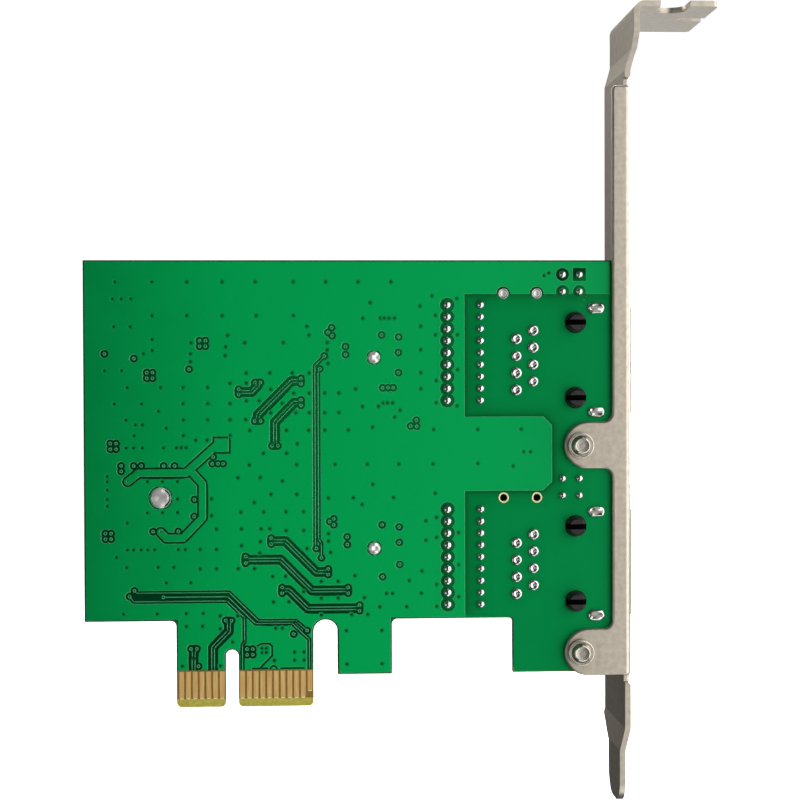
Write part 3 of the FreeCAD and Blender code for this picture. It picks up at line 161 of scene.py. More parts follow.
def make_mask_over_laminate():
    """Lacquer over bare laminate: its colour follows an attribute, 0 by copper and 1 far off. The dark end is
    partly the lacquer's depth and partly painted shade.
    """
    material, tree, shader = finish_named("solder_mask_over_laminate", Roughness=0.34, IOR=1.5,
                                          Specular_IOR_Level=0.04)
    clear_and_painted_shade = add(tree, "ShaderNodeAttribute", {"attribute_name": "clear_and_painted_shade"}).outputs["Fac"]
    coloured(tree, shader, clear_and_painted_shade,
             [(0.0, "#003F1E"), (0.05, "#00642F"), (0.16, "#007A3A"), (0.4, "#008844"), (1.0, "#00904A")])
    return material


BEVEL_TOP, CONTACTS_TOP = 1.3, 5.5  # heights in mm of the ground bevel and of the bare contact area


def make_laminate():
    """FR4: woven glass in yellow epoxy. Its bevel is ground bare, it is brown between the contacts, and
    above them the lacquer stains it green."""
    material, tree, shader = finish_named("glass_epoxy_laminate", Roughness=0.5, IOR=1.5)
    fibres = grain(tree, 3.0, 3.0, (1, 0.3, 1))
    ground = ramp(tree, fibres, [(0.3, "#B8AC3C"), (0.7, "#D2C656")])
    brown = ramp(tree, fibres, [(0.3, "#8A6A30"), (0.7, "#A07C3C")])
    stained = ramp(tree, fibres, [(0.3, "#0B4A24"), (0.7, "#156B38")])
    place = add(tree, "ShaderNodeTexCoord").outputs["Object"]
    height = add(tree, "ShaderNodeSeparateXYZ", links={"Vector": place}).outputs["Z"]
    high = add(tree, "ShaderNodeMath", {"operation": "GREATER_THAN"}, {1: CONTACTS_TOP * MM}, {0: height})
    above_bevel = add(tree, "ShaderNodeMath", {"operation": "GREATER_THAN"}, {1: BEVEL_TOP * MM}, {0: height})
    bare = add(tree, "ShaderNodeMix", {"data_type": "RGBA"},
               links={"Factor": above_bevel.outputs[0], 6: ground, 7: brown}).outputs[2]
    colour = add(tree, "ShaderNodeMix", {"data_type": "RGBA"},
                 links={"Factor": high.outputs[0], 6: bare, 7: stained})
    tree.links.new(colour.outputs[2], shader.inputs["Base Color"])
    return material


def make_gold_plate():
    """Hard gold over nickel, dragged by use along the contacts. Its matt plating scatters most of the
    light, so little of the finish is mirror-like metal."""
    material, tree, shader = finish_named("hard_gold_plate", Metallic=0.12)
    drag = grain(tree, 4.0, 3.0, (1, 1, 0.08))
    coloured(tree, shader, drag, [(0.3, "#E6B96C"), (0.7, "#FCD48C")])
    coloured(tree, shader, drag, [(0.3, "#4A4A4A"), (0.7, "#6E6E6E")], "Roughness")
    return material


MASK_COPPER = make_mask_over_copper()
# On the copper's sloped edges the lacquer runs thin, and its paler colour there is a painted highlight
MASK_EDGE_HIGHLIGHT = finish_named("solder_mask_painted_highlight_on_copper_edges", Base_Color=linear("#54B883"), Roughness=0.3,
                         IOR=1.5, Specular_IOR_Level=0.2)[0]
MASK_LAMINATE = make_mask_over_laminate()
LAMINATE = make_laminate()
GOLD = make_gold_plate()
# Gold that no socket has rubbed is pale and even
GOLD_TIP = finish_named("fresh_gold_plate", Base_Color=linear("#FFF2BE"), Metallic=0.1, Roughness=0.35)[0]
print("board finishes:", [m.name for m in (MASK_COPPER, MASK_LAMINATE, LAMINATE, GOLD)])

# %% [markdown]
# ## Finishes of the metal parts
# The bracket is cold-rolled steel with satin nickel, which is warm grey and shows faint pits. The
# port shells are brighter. Solder is nearly a mirror, with a skin that wrinkles a little as it sets.

# %% Steel, tin, aluminium
def make_grained(name, dark, light, rough, per_mm, depth_mm, stretch=(1, 1, 1), metallic=1.0, detail=3.0):
    """Two near shades in grains of a real size, with pits depth_mm deep: metal, unless it is told not."""
    material, tree, shader = finish_named(name, Metallic=metallic, Roughness=rough)
    pattern = grain(tree, per_mm, detail, stretch)
    coloured(tree, shader, pattern, [(0.3, dark), (0.7, light)])
    bump(tree, shader, pattern, depth_mm)
    return material


NICKEL_SATIN = make_grained("satin_nickel_plated_steel", "#BDB4A6", "#D0C8BA", 0.4, 1.2, 0.004)
NICKEL_BRIGHT = make_grained("bright_nickel_plate", "#B9B5AC", "#CFCBC2", 0.24, 0.8, 0.003)
SCREW_NICKEL = make_grained("nickel_plated_screw_steel", "#B8AE9A", "#CFC6B2", 0.3, 2.0, 0.004)
SOLDER = make_grained("bright_tin_solder", "#C2C6C4", "#E2E6E4", 0.14, 1.4, 0.01)
SOLDER_DULL = make_grained("frosted_tin_solder", "#D2D0CE", "#F6F4F2", 0.22, 0.9, 0.03, metallic=0.45)
TIN = make_grained("tin_plate", "#A5A7A7", "#C4C6C6", 0.3, 2.5, 0.003)
# The can is drawn along Y, which leaves lines that way
CAN_ALUMINIUM = make_grained("drawn_aluminium", "#B4B6B8", "#D0D2D4", 0.28, 3.0, 0.003, (1, 0.1, 1))
print("metals ready")

# %% [markdown]
# ## Finishes of the moulded and fired parts
# Black glass-filled nylon and epoxy are nearly black with a fine matt skin. Ferrite is ground and
# greyer. The small capacitors are fired ceramic in a toffee colour, and the lamps are tinted resin.

# %% Mouldings, ceramic, resin
def make_moulding(name, dark, light, rough, per_mm=6.0, depth_mm=0.004):
    """Moulded or fired stuff: no metal, and a finer skin."""
    return make_grained(name, dark, light, rough, per_mm, depth_mm, metallic=0.0, detail=2.0)


BLACK_NYLON = make_moulding("black_glass_filled_nylon", "#0C0D0D", "#171818", 0.45)
BLACK_EPOXY = make_moulding("black_moulded_epoxy", "#17181A", "#222326", 0.5)
FERRITE = make_moulding("ground_ferrite", "#2B2C2E", "#3C3D40", 0.6)
CERAMIC = make_moulding("fired_ceramic", "#8D6B47", "#A88560", 0.4, 3.0, 0.001)
RESISTOR_GLAZE = make_moulding("resistor_glaze", "#141516", "#202123", 0.25, 3.0, 0.001)
# A near-black sheet at the floor of each peg's narrow slot paints the shade that falls there
SLOT_PAINTED_SHADE = finish_named("black_painted_shade_in_peg_slots", Base_Color=linear("#060606"), Roughness=0.9, IOR=1.5,
                          Specular_IOR_Level=0.05)[0]
LAMP_GREEN, LAMP_AMBER = (
    finish_named(name, Base_Color=linear(tint), Roughness=0.12, IOR=1.55, Transmission_Weight=0.35)[0]
    for name, tint in (("green_tinted_resin", "#8CCB6A"), ("amber_tinted_resin", "#E0A94A")))

# %% Give the solids their finishes
NODES_BY_FINISH = [
    (LAMINATE, "circuit_board"),
    (GOLD, "solder_side_contacts component_side_contacts upper_port_contacts lower_port_contacts"),
    (NICKEL_SATIN, "bracket"),
    (SCREW_NICKEL, "bracket_screws"),
    (NICKEL_BRIGHT, "crystal_cans upper_port_shell lower_port_shell"),
    (CAN_ALUMINIUM, "can_capacitors"),
    (FERRITE, "power_coils"),
    (BLACK_EPOXY, "bridge_chip memory_chips voltage_regulators upper_transformer lower_transformer"),
    (BLACK_EPOXY, "upper_controller lower_controller"),
    (BLACK_NYLON, "crystal_bases can_capacitor_bases upper_port_block lower_port_block"),
    (BLACK_NYLON, "upper_lamp_holder lower_lamp_holder"),
    (CERAMIC, "large_ceramic_capacitors small_ceramic_capacitors"),
    (RESISTOR_GLAZE, "resistors"),
    (LAMP_GREEN, "activity_lamps"),
    (LAMP_AMBER, "link_lamps"),
]
SOLID_FINISHES = {name: finish for finish, names in NODES_BY_FINISH for name in names.split()}
for name, solid in NODES.items():
    finish = SOLID_FINISHES.get(name, SOLDER if "solder" in name else TIN)
    for material_slot in solid.material_slots:
        material_slot.material = finish
print(len(NODES), "solids have a finish")

# %% [markdown]
# ## Flat shapes on a board
# Everything etched or printed on a board is flat: discs, straight runs and areas. Each is a loop of
# points in the X-Z plane. Rather than cutting solids from each other, the loops are all laid in one
# plane with a rank, triangulated together, and each triangle asks which loop of the highest rank it
# lies in. Even ranks lay copper down and odd ranks take it away, so a clearance cuts an area and a
# trace fills part of that clearance again.

# %% Loops of points in millimetres
def disc(x, z, radius, count=18):
    """Points at radius (cos a, sin a) round a centre, a going once round."""
    angle = np.arange(count) * 2 * np.pi / count
    return np.stack([x + radius * np.cos(angle), z + radius * np.sin(angle)], axis=1)


def square(x, z, half_x, half_z=None):
    """The four corners of a rectangle round a centre."""
    half_z = half_x if half_z is None else half_z
    return np.array([[x - half_x, z - half_z], [x + half_x, z - half_z], [x + half_x, z + half_z],
                     [x - half_x, z + half_z]])


def ring_part(x, z, inner, outer, start, end, count=7):
    """A piece of a flat ring between two angles in degrees: out along one arc and back along the other."""
    angle = np.radians(np.linspace(start, end, count))
    arc = np.stack([np.cos(angle), np.sin(angle)], axis=1)
    return np.concatenate([outer * arc, inner * arc[::-1]]) + (x, z)


def run(points, width):
    """A path of some width: a rectangle along each leg and a disc on each point, to be laid together."""
    points = np.array(points, float)
    loops = [disc(x, z, width / 2, 12) for x, z in points]
    for start, end in zip(points[:-1], points[1:]):
        along = (end - start) / np.linalg.norm(end - start)
        across = np.array([-along[1], along[0]]) * width / 2
        loops.append(np.array([start - across, end - across, end + across, start + across]))
    return loops


def beside(points, offset):
    """A path moved sideways: each point goes along the mitre of its two legs' normals."""
    points = np.array(points, float)
    legs = np.diff(points, axis=0)
    normals = np.stack([-legs[:, 1], legs[:, 0]], axis=1) / np.linalg.norm(legs, axis=1)[:, None]
    before = np.vstack([normals[:1], normals])
    after = np.vstack([normals, normals[-1:]])
    mitre = before + after
    mitre /= np.linalg.norm(mitre, axis=1)[:, None]
    reach = offset / np.clip((mitre * after).sum(axis=1), 0.4, 1)
    return points + mitre * reach[:, None]


def area(loop):
    """Half the sum of cross products round a loop: above zero when it runs anticlockwise."""
    x, z = loop[:, 0], loop[:, 1]
    return 0.5 * np.sum(x * np.roll(z, -1) - np.roll(x, -1) * z)


# %% Lay ranked loops and raise what is kept
def lay(ranked, points=None):
    """Triangulate all the loops together. A triangle is kept where its highest rank is even."""
    loops = [loop if area(loop) > 0 else loop[::-1] for _, loop in ranked]
    ranks = [rank for rank, _ in ranked]
    corners = [Vector(p) for loop in loops for p in loop]
    starts = np.cumsum([0] + [len(loop) for loop in loops])
    faces = [list(range(a, b)) for a, b in zip(starts[:-1], starts[1:])]
    if points is not None:
        corners += [Vector(p) for p in points]
    flat, _, triangles, _, _, origins = delaunay_2d_cdt(corners, [], faces, 0, 1e-4)
    top_rank = np.array([max((ranks[i] for i in origin), default=-1) for origin in origins])
    kept = np.array(triangles)[(top_rank >= 0) & (top_rank % 2 == 0)]
    used, renumbered = np.unique(kept, return_inverse=True)
    return np.array(flat)[used], renumbered.reshape(-1, 3)


def rim_of(triangles):
    """Edges that only one triangle uses, each in that triangle's direction."""
    edges = np.concatenate([triangles[:, [0, 1]], triangles[:, [1, 2]], triangles[:, [2, 0]]])
    key = np.sort(edges, axis=1)
    _, first, count = np.unique(key, axis=0, return_index=True, return_counts=True)
    return edges[first[count == 1]]


def raised(flat, triangles, foot, top, slope):
    """A plate from a flat layout: foot and top are Y in mm, and the top rim is drawn in by slope.

    The rim's normal at a point is the mean of its two edges' normals, which point into the plate.
    """
    rim = rim_of(triangles)
    legs = flat[rim[:, 1]] - flat[rim[:, 0]]
    inward = np.stack([-legs[:, 1], legs[:, 0]], axis=1)
    inward /= np.maximum(np.linalg.norm(inward, axis=1), 1e-9)[:, None]
    mean = np.zeros_like(flat)
    np.add.at(mean, rim[:, 0], inward)
    np.add.at(mean, rim[:, 1], inward)
    length = np.linalg.norm(mean, axis=1)
    mean[length > 1e-6] /= length[length > 1e-6, None]
    drawn_in = flat + mean * slope
    count = len(flat)
    low = np.column_stack([flat[:, 0], np.full(count, foot), flat[:, 1]])
    high = np.column_stack([drawn_in[:, 0], np.full(count, top), drawn_in[:, 1]])
    outward = top < foot  # a loop that runs anticlockwise in X and Z faces -Y, the solder side
    cover = triangles + count if outward else triangles[:, ::-1] + count
    floor = triangles[:, ::-1] if outward else triangles
    a, b = rim.T
    wall = np.column_stack([a, b, b + count, a + count])
    wall = wall[:, ::-1] if outward else wall  # the walls run clockwise seen from outside
    return np.vstack([low, high]), [*floor.tolist(), *cover.tolist(), *wall.tolist()]


def piece(name, vertices_mm, faces, finish, slot, smooth=False, edge_finish=None):
    """A mesh object in the card's frame, riding on the root body. Its four-sided faces, the walls of a raised
    plate, may have a second finish of their own, which paints a highlight on them."""
    mesh = bpy.data.meshes.new(name)
    mesh.from_pydata((np.asarray(vertices_mm) * MM).tolist(), [], faces)
    mesh.materials.append(finish)
    if edge_finish:
        mesh.materials.append(edge_finish)
        mesh.polygons.foreach_set("material_index", np.array([int(len(face) == 4) for face in faces]))
    mesh.polygons.foreach_set("use_smooth", np.full(len(mesh.polygons), smooth))
    mesh.update()
    made = bpy.data.objects.new(name, mesh)
    bpy.context.scene.collection.objects.link(made)
    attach(made, "root")
    print(f"{name}: {len(mesh.vertices)} points, {len(mesh.polygons)} faces")
    return made


def plate(name, ranked, levels, slope, finish, slot, points=None, **more):
    """Lay ranked loops and raise them between two levels of Y. Gives the object and its flat layout."""
    flat, triangles = lay(ranked, points)
    vertices, faces = raised(flat, triangles, *levels, slope)
    return piece(name, vertices, faces, finish, slot, **more), flat, triangles


# %% Join rings into closed pieces
def joined(rings, tip=None, looped=False):
    """Faces of a stack of rings (n, m, 3) that run anticlockwise seen from the last ring's side. A flat
    face closes the first ring, and the last ring has one too or a tip. Looped, the last joins the first.
    Seen from outside the faces run clockwise, as a room seen from within needs."""
    rows, across = rings.shape[:2]
    body = rings.reshape(-1, 3) if tip is None else np.vstack([rings.reshape(-1, 3), tip])
    i, j = np.meshgrid(np.arange(rows if looped else rows - 1), np.arange(across), indexing="ij")
    here, beside_it = i * across + j, i * across + (j + 1) % across
    quads = np.stack([here, here + across, beside_it + across, beside_it], axis=2) % (rows * across)
    faces = quads.reshape(-1, 4).tolist()
    if not looped:
        foot = list(range(across))
        top = [n + (rows - 1) * across for n in foot]
        faces += [top[::-1]] if tip is None else [[n, len(body) - 1, following]
                                                  for n, following in zip(top, top[1:] + top[:1])]
        faces.append(foot)
    return body, faces


def repeated(body, faces, places, scales, level):
    """A copy at each (x, z), stretched by its own three factors. A mirrored copy's faces turn round."""
    vertices, all_faces = [], []
    for n, ((x, z), scale) in enumerate(zip(places, scales)):
        vertices.append(body * scale + (x, level, z))
        way = 1 if np.prod(scale) > 0 else -1
        all_faces += [[at + n * len(body) for at in face[::way]] for face in faces]
    return np.vstack(vertices), all_faces


def ring_stack(profile, angle, centre=0.0):
    """One ring for each (r, h) of a profile: (centre + r cos a, -h, r sin a)."""
    radius, height = np.array(profile)[:, :1], np.array(profile)[:, 1:]
    return np.stack([centre + radius * np.cos(angle), -height + 0 * angle, radius * np.sin(angle)], axis=2)


def turned_body(profile, turns):
    """A surface of revolution round -Y, with the profile's last point on the axis as the tip."""
    rings = ring_stack(profile[:-1], np.arange(turns) * 2 * np.pi / turns)
    return joined(rings, tip=(0, -profile[-1][1], 0))


def turned(places, profile, heights, turns=20, widths=None):
    """The same turned body at each place, with heights and widths that stretch each one."""
    widths = np.ones(len(places)) if widths is None else widths
    return repeated(*turned_body(profile, turns), places, np.column_stack([widths, heights, widths]), SOLDER_Y)


def oval_rings(places, half_length, profile, count=12):
    """A profile of (radius, height) carried round a stadium at each place and closed into a loop. The
    stadium is two half circles, whose centres lie half_length to either side."""
    angle = np.radians(np.concatenate([np.linspace(-90, 90, count), np.linspace(90, 270, count)]))
    centre = np.repeat([half_length, -half_length], count)
    body, faces = joined(ring_stack(profile, angle, centre), looped=True)
    return repeated(body, faces, places, np.ones((len(places), 3)), SOLDER_Y)


# %% [markdown]
# ## The board's plan
# The board's box and the joints' places are read off the imported solids; the outline's other corners and the
# holes are given in millimetres.

# %% Plan of the board, from the solids
BOX_POINTS, LEAD_POINTS, JOINT_POINTS = 24, 48, 214  # points of one box, one bent lead, one solid joint


def solid_boxes(name, per_solid):
    """Boxes of a node's separate solids, whose points lie one solid after another: (n, 2, 3) in mm."""
    mesh = NODES[name].data
    points = np.empty(len(mesh.vertices) * 3)
    mesh.vertices.foreach_get("co", points)
    points = points.reshape(-1, per_solid, 3) / MM
    return np.stack([points.min(axis=1), points.max(axis=1)], axis=1)


BOARD_LOW, BOARD_HIGH = (np.array(corner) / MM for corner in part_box("circuit_board"))
LEFT, SOLDER_Y, _ = BOARD_LOW
RIGHT, COMPONENT_Y, TOP = BOARD_HIGH
FOOT = 12.9
TAB_LEFT, TAB_RIGHT, KEY, KEY_TOP = -8.22, 12.05, 0.95, 8.55
SLOT_X, SLOT_Z, SLOT_R = 13.85, 11.1, 1.8
HOOK_RIGHT, HOOK_FOOT, NOTCH_RIGHT = 23.75, 4.7, 41.9
MASK_FOOT = 5.55
BREAK_CLEARANCE = 2.5  # how many times wider the margin is where boards are broken apart


def board_outline(inset):
    """The board's outline drawn in by inset, down to where the mask ends above the contacts. The key and
    the slot end in half circles, centre + (r cos a, r sin a). The side by the bracket keeps more."""
    turn = np.radians(np.linspace(0, 180, 15))
    key_r = KEY + inset
    key = np.stack([key_r * np.cos(turn), KEY_TOP - KEY + key_r * np.sin(turn)], axis=1)[::-1]
    slot_r = SLOT_R + inset
    right = RIGHT - BREAK_CLEARANCE * inset
    slot = np.stack([SLOT_X + slot_r * np.cos(turn), SLOT_Z + slot_r * np.sin(turn)], axis=1)[::-1]
    return np.vstack([
        [(LEFT + inset, TOP - inset), (LEFT + inset, FOOT + inset), (TAB_LEFT + inset, FOOT + inset),
         (TAB_LEFT + inset, MASK_FOOT), (-key_r, MASK_FOOT)],
        key,
        [(key_r, MASK_FOOT), (TAB_RIGHT - inset, MASK_FOOT)],
        slot,
        [(SLOT_X + slot_r, HOOK_FOOT + inset), (HOOK_RIGHT - inset, HOOK_FOOT + inset),
         (HOOK_RIGHT - inset, FOOT + inset), (NOTCH_RIGHT + inset, FOOT + inset),
         (NOTCH_RIGHT + inset, HOOK_FOOT + inset), (right, HOOK_FOOT + inset), (right, TOP - inset)],
    ])


PORT_LEVELS = (51.4, 20.92)  # height of each port's middle, upper first
JOINT_PLACES = {name: solid_boxes(name, JOINT_POINTS).mean(axis=1)[:, [0, 2]] for name in (
    "port_solder_joints", "lamp_solder_joints", "transformer_solder_joints")}
for name, places in JOINT_PLACES.items():
    print(name, len(places), "joints from", places.min(axis=0).round(2), "to", places.max(axis=0).round(2))

# %% Holes that every layer leaves open
def by_ports(x, half_spacing):
    """Two places by each port, above and below its middle."""
    return [(x, level + half_spacing * turn) for level in PORT_LEVELS for turn in (1, -1)]


PEGS, PRONGS = by_ports(51.37, 5.63), by_ports(54.45, 7.8)
SCREWS = [(52.05, 7.68), (52.05, 38.66)]
SPARE_HOLES = [(x, level + 9.95) for level in PORT_LEVELS for x in (40.5, 45.5)]
PEG_HOLE, SPARE_HOLE = 1.62, 0.54  # radii


def open_holes(rank):
    """Ranked loops of the board's larger holes."""
    loops = [disc(x, z, PEG_HOLE, 24) for x, z in PEGS]
    loops += [square(x, z, 1.16, 0.56) for x, z in PRONGS]
    loops += [disc(x, z, PEG_HOLE, 24) for x, z in SCREWS]
    loops += [disc(x, z, SPARE_HOLE) for x, z in SPARE_HOLES]
    return [(rank, loop) for loop in loops]


# %% [markdown]
# ## The copper plan of the solder side
# Most of this face is one ground area. It stops short of the board's edge, and of a wide gap round
# the ports that keeps the cable side apart from the rest. Pairs of thin traces run in clearances
# through it. The round spots are vias: small plated holes that join the board's layers. Where the
# lacquer closes a via only a dark dimple shows, and where a via carries a signal a ring of bare
# laminate goes round its pad.

# %% Ground area and its gap round the ports
GROUND_INSET = 0.2
GAP_LEFT, GAP_TOP, GAP_STEP_TOP, GAP_STEP_FOOT = 34.7, 61.27, 43.0, 31.9
gap_outline = np.array([
    (GAP_LEFT, GAP_TOP), (GAP_LEFT, GAP_STEP_TOP), (46.5, GAP_STEP_TOP), (47.8, 41.65), (47.8, 33.2),
    (46.4, GAP_STEP_FOOT), (GAP_LEFT, GAP_STEP_FOOT), (GAP_LEFT, 0.0), (RIGHT + 2, 0.0),
    (RIGHT + 2, GAP_TOP),
])

# %% Vias that carry signals, each with its ring
SIGNAL_VIAS = [
    (-18.6, 52.5), (-14.3, 51.8), (-6.2, 50.2), (22.3, 55.2), (24.85, 54.9), (24.8, 52.6), (24.8, 49.6),
    (22.3, 26.95), (24.85, 26.6), (24.85, 24.3), (24.9, 21.0), (22.35, 19.2), (-14.4, 35.95),
    (-13.3, 35.95), (-10.0, 35.9), (-8.4, 35.9), (-5.5, 30.9), (-5.55, 28.4), (-7.9, 26.2), (-11.6, 26.2),
    (-2.7, 37.2), (9.1, 10.8), (-5.0, 6.15), (-16.25, 35.95), (-16.25, 35.15), (16.95, 53.5),
    (16.95, 52.3), (17.1, 25.2), (17.1, 24.05), (14.9, 56.3), (14.35, 55.6), (14.95, 55.1),
    (22.45, 47.35), (23.25, 47.35), (24.0, 47.35), (27.45, 42.5), (26.6, 41.65), (27.5, 41.6),
    (15.1, 27.9), (14.5, 27.5), (15.1, 27.0), (-2.85, 36.2), (-2.0, 36.2), (-1.25, 36.2),
]
VIA_QUADS = [(-4.2, 54.0), (-12.0, 49.3), (-17.4, 38.85), (-18.2, 25.55), (2.6, 8.2)]
SIGNAL_VIAS += [(x + dx, z + dz) for x, z in VIA_QUADS for dx in (-0.42, 0.42) for dz in (-0.42, 0.42)]

# %% Traces: pairs that end on two vias each, single runs and one wide run
PAIR_GAP, TRACE, MOAT = 0.42, 0.14, 0.47
BUS_MOAT = 0.25
# Each pair: its two first vias, the middle line between the traces, its two last vias.
TRACE_PAIRS = [
    ([(1.1, 47.2), (1.1, 46.45)], [(1.6, 46.8), (3.0, 46.8), (3.9, 47.7)], [(3.5, 48.2), (4.3, 48.2)]),
    ([(3.45, 42.5), (4.3, 42.5)], [(3.9, 42.95), (3.9, 43.4), (8.9, 48.4), (9.9, 48.4)],
     [(10.3, 48.8), (10.3, 48.0)]),
    ([(6.0, 38.8), (6.85, 38.8)], [(6.45, 39.2), (6.45, 42.3), (9.3, 45.2), (9.9, 45.2)],
     [(10.3, 45.6), (10.3, 44.8)]),
    ([(5.8, 25.1), (5.8, 24.2)], [(6.2, 24.65), (7.9, 24.65), (12.5, 20.0), (13.8, 20.0)],
     [(14.25, 20.45), (14.25, 19.6)]),
    ([(2.0, 22.4), (2.0, 21.4)], [(2.5, 21.9), (7.2, 21.9), (11.8, 17.25), (16.8, 17.25)],
     [(17.2, 17.65), (17.2, 16.8)]),
    ([(7.4, 17.75), (7.4, 16.9)], [(7.8, 17.35), (8.4, 17.35), (11.2, 14.55), (18.4, 14.55)],
     [(18.9, 15.0), (18.9, 14.15)]),
    ([(-0.95, 12.9), (-0.1, 12.9)], [(-0.5, 12.4), (-0.5, 11.3), (-2.85, 8.9), (-2.85, MASK_FOOT)], []),
    ([(-6.1, 8.75), (-5.25, 8.75)], [(-5.7, 8.2), (-5.75, 7.4), (-5.75, MASK_FOOT)], []),
]
# Each single run: its points, with a via on the first and, where noted, on the last.
SINGLE_RUNS = [
    ([(13.8, 52.1), (12.38, 50.65), (12.38, 24.0), (12.5, 23.5)], True),
    ([(13.1, 50.2), (12.85, 49.8), (12.85, 24.9), (13.25, 24.3), (13.25, 22.1)], True),
    ([(-14.4, 17.45), (-14.1, 17.08), (-0.45, 17.08), (3.9, 12.77), (9.45, 12.77), (11.1, 11.3)], True),
    ([(-10.15, 16.45), (-0.65, 16.45), (3.45, 12.41), (8.85, 12.41), (11.42, 9.95), (11.42, MASK_FOOT)],
     False),
    ([(-15.1, 16.6), (-14.5, 15.82), (-0.75, 15.82), (1.82, 13.3), (1.82, 9.7), (1.5, 9.25),
      (1.5, MASK_FOOT)], False),
]
WIDE_RUN, WIDE_MOAT = 1.05, 0.3
WIDE_PATHS = [
    [(-15.3, 33.6), (-13.7, 34.85), (-6.7, 34.85), (-2.0, 39.1), (-1.0, 39.1)],
    [(-5.9, 35.0), (-4.3, 33.2), (-4.3, 28.2), (-7.2, 25.2), (-9.7, 25.2), (-10.5, 26.1)],
]
WIDE_PAD = (-1.45, 38.95, 1.05, 1.0)
THIN_MOATS = [
    [(3.7, 9.1), (4.3, 9.4), (5.5, 9.4), (5.9, 9.0), (5.9, 7.6), (4.2, 5.9)],
    [(3.0, 5.72), (5.2, 5.72)],
    [(7.2, 5.72), (10.6, 5.72)],
]


def via(x, z):
    """A signal via: bare ring, pad and the hole's mouth."""
    return [(1, disc(x, z, 0.6)), (4, disc(x, z, 0.27, 14)), (5, disc(x, z, 0.12, 10))]


def traced(points, width, moat):
    """A run of copper and the clearance round it."""
    return [(1, loop) for loop in run(points, width + 2 * moat)] + [(2, loop) for loop in run(points, width)]


def solder_side_traces():
    """Ranked loops of every trace and signal via."""
    laid = [shape for place in SIGNAL_VIAS for shape in via(*place)]
    laid += [(1, square(x, z, 0.84)) for x, z in VIA_QUADS]
    laid += [(1, loop) for first, _, last in TRACE_PAIRS for group in (first, last) if group
             for loop in run(group, 1.24)]
    for first, middle, last in TRACE_PAIRS:
        for turn in (0, 1):
            line = beside(middle, PAIR_GAP * (0.5 - turn)).tolist()
            ends = [min(group, key=lambda p: math.dist(p, line[at]))
                    for group, at in ((first, 0), (last, -1)) if group]
            path = [ends[0]] + line + ends[1:]
            laid += traced(path, TRACE, MOAT)
        laid += [shape for place in first + last for shape in via(*place)]
    for points, both in SINGLE_RUNS:
        laid += traced(points, TRACE, BUS_MOAT)
        laid += via(*points[0]) + (via(*points[-1]) if both else [])
    for points in WIDE_PATHS:
        laid += traced(points, WIDE_RUN, WIDE_MOAT)
    x, z, half_x, half_z = WIDE_PAD
    laid += [(1, square(x, z, half_x + WIDE_MOAT, half_z + WIDE_MOAT)), (2, square(x, z, half_x, half_z))]
    laid += [(3, loop) for points in THIN_MOATS for loop in run(points, 0.28)]
    laid += [(3, ring_part(6.1, 5.6, 0.32, 0.62, 0, 180, 12))]
    laid += [shape for place in ((-15.3, 33.6), (-10.5, 26.15)) for shape in via(*place)[1:]]
    laid += [(1, loop) for loop in run([(-14.9, 16.55), (-10.3, 16.55)], 1.0)]
    return laid


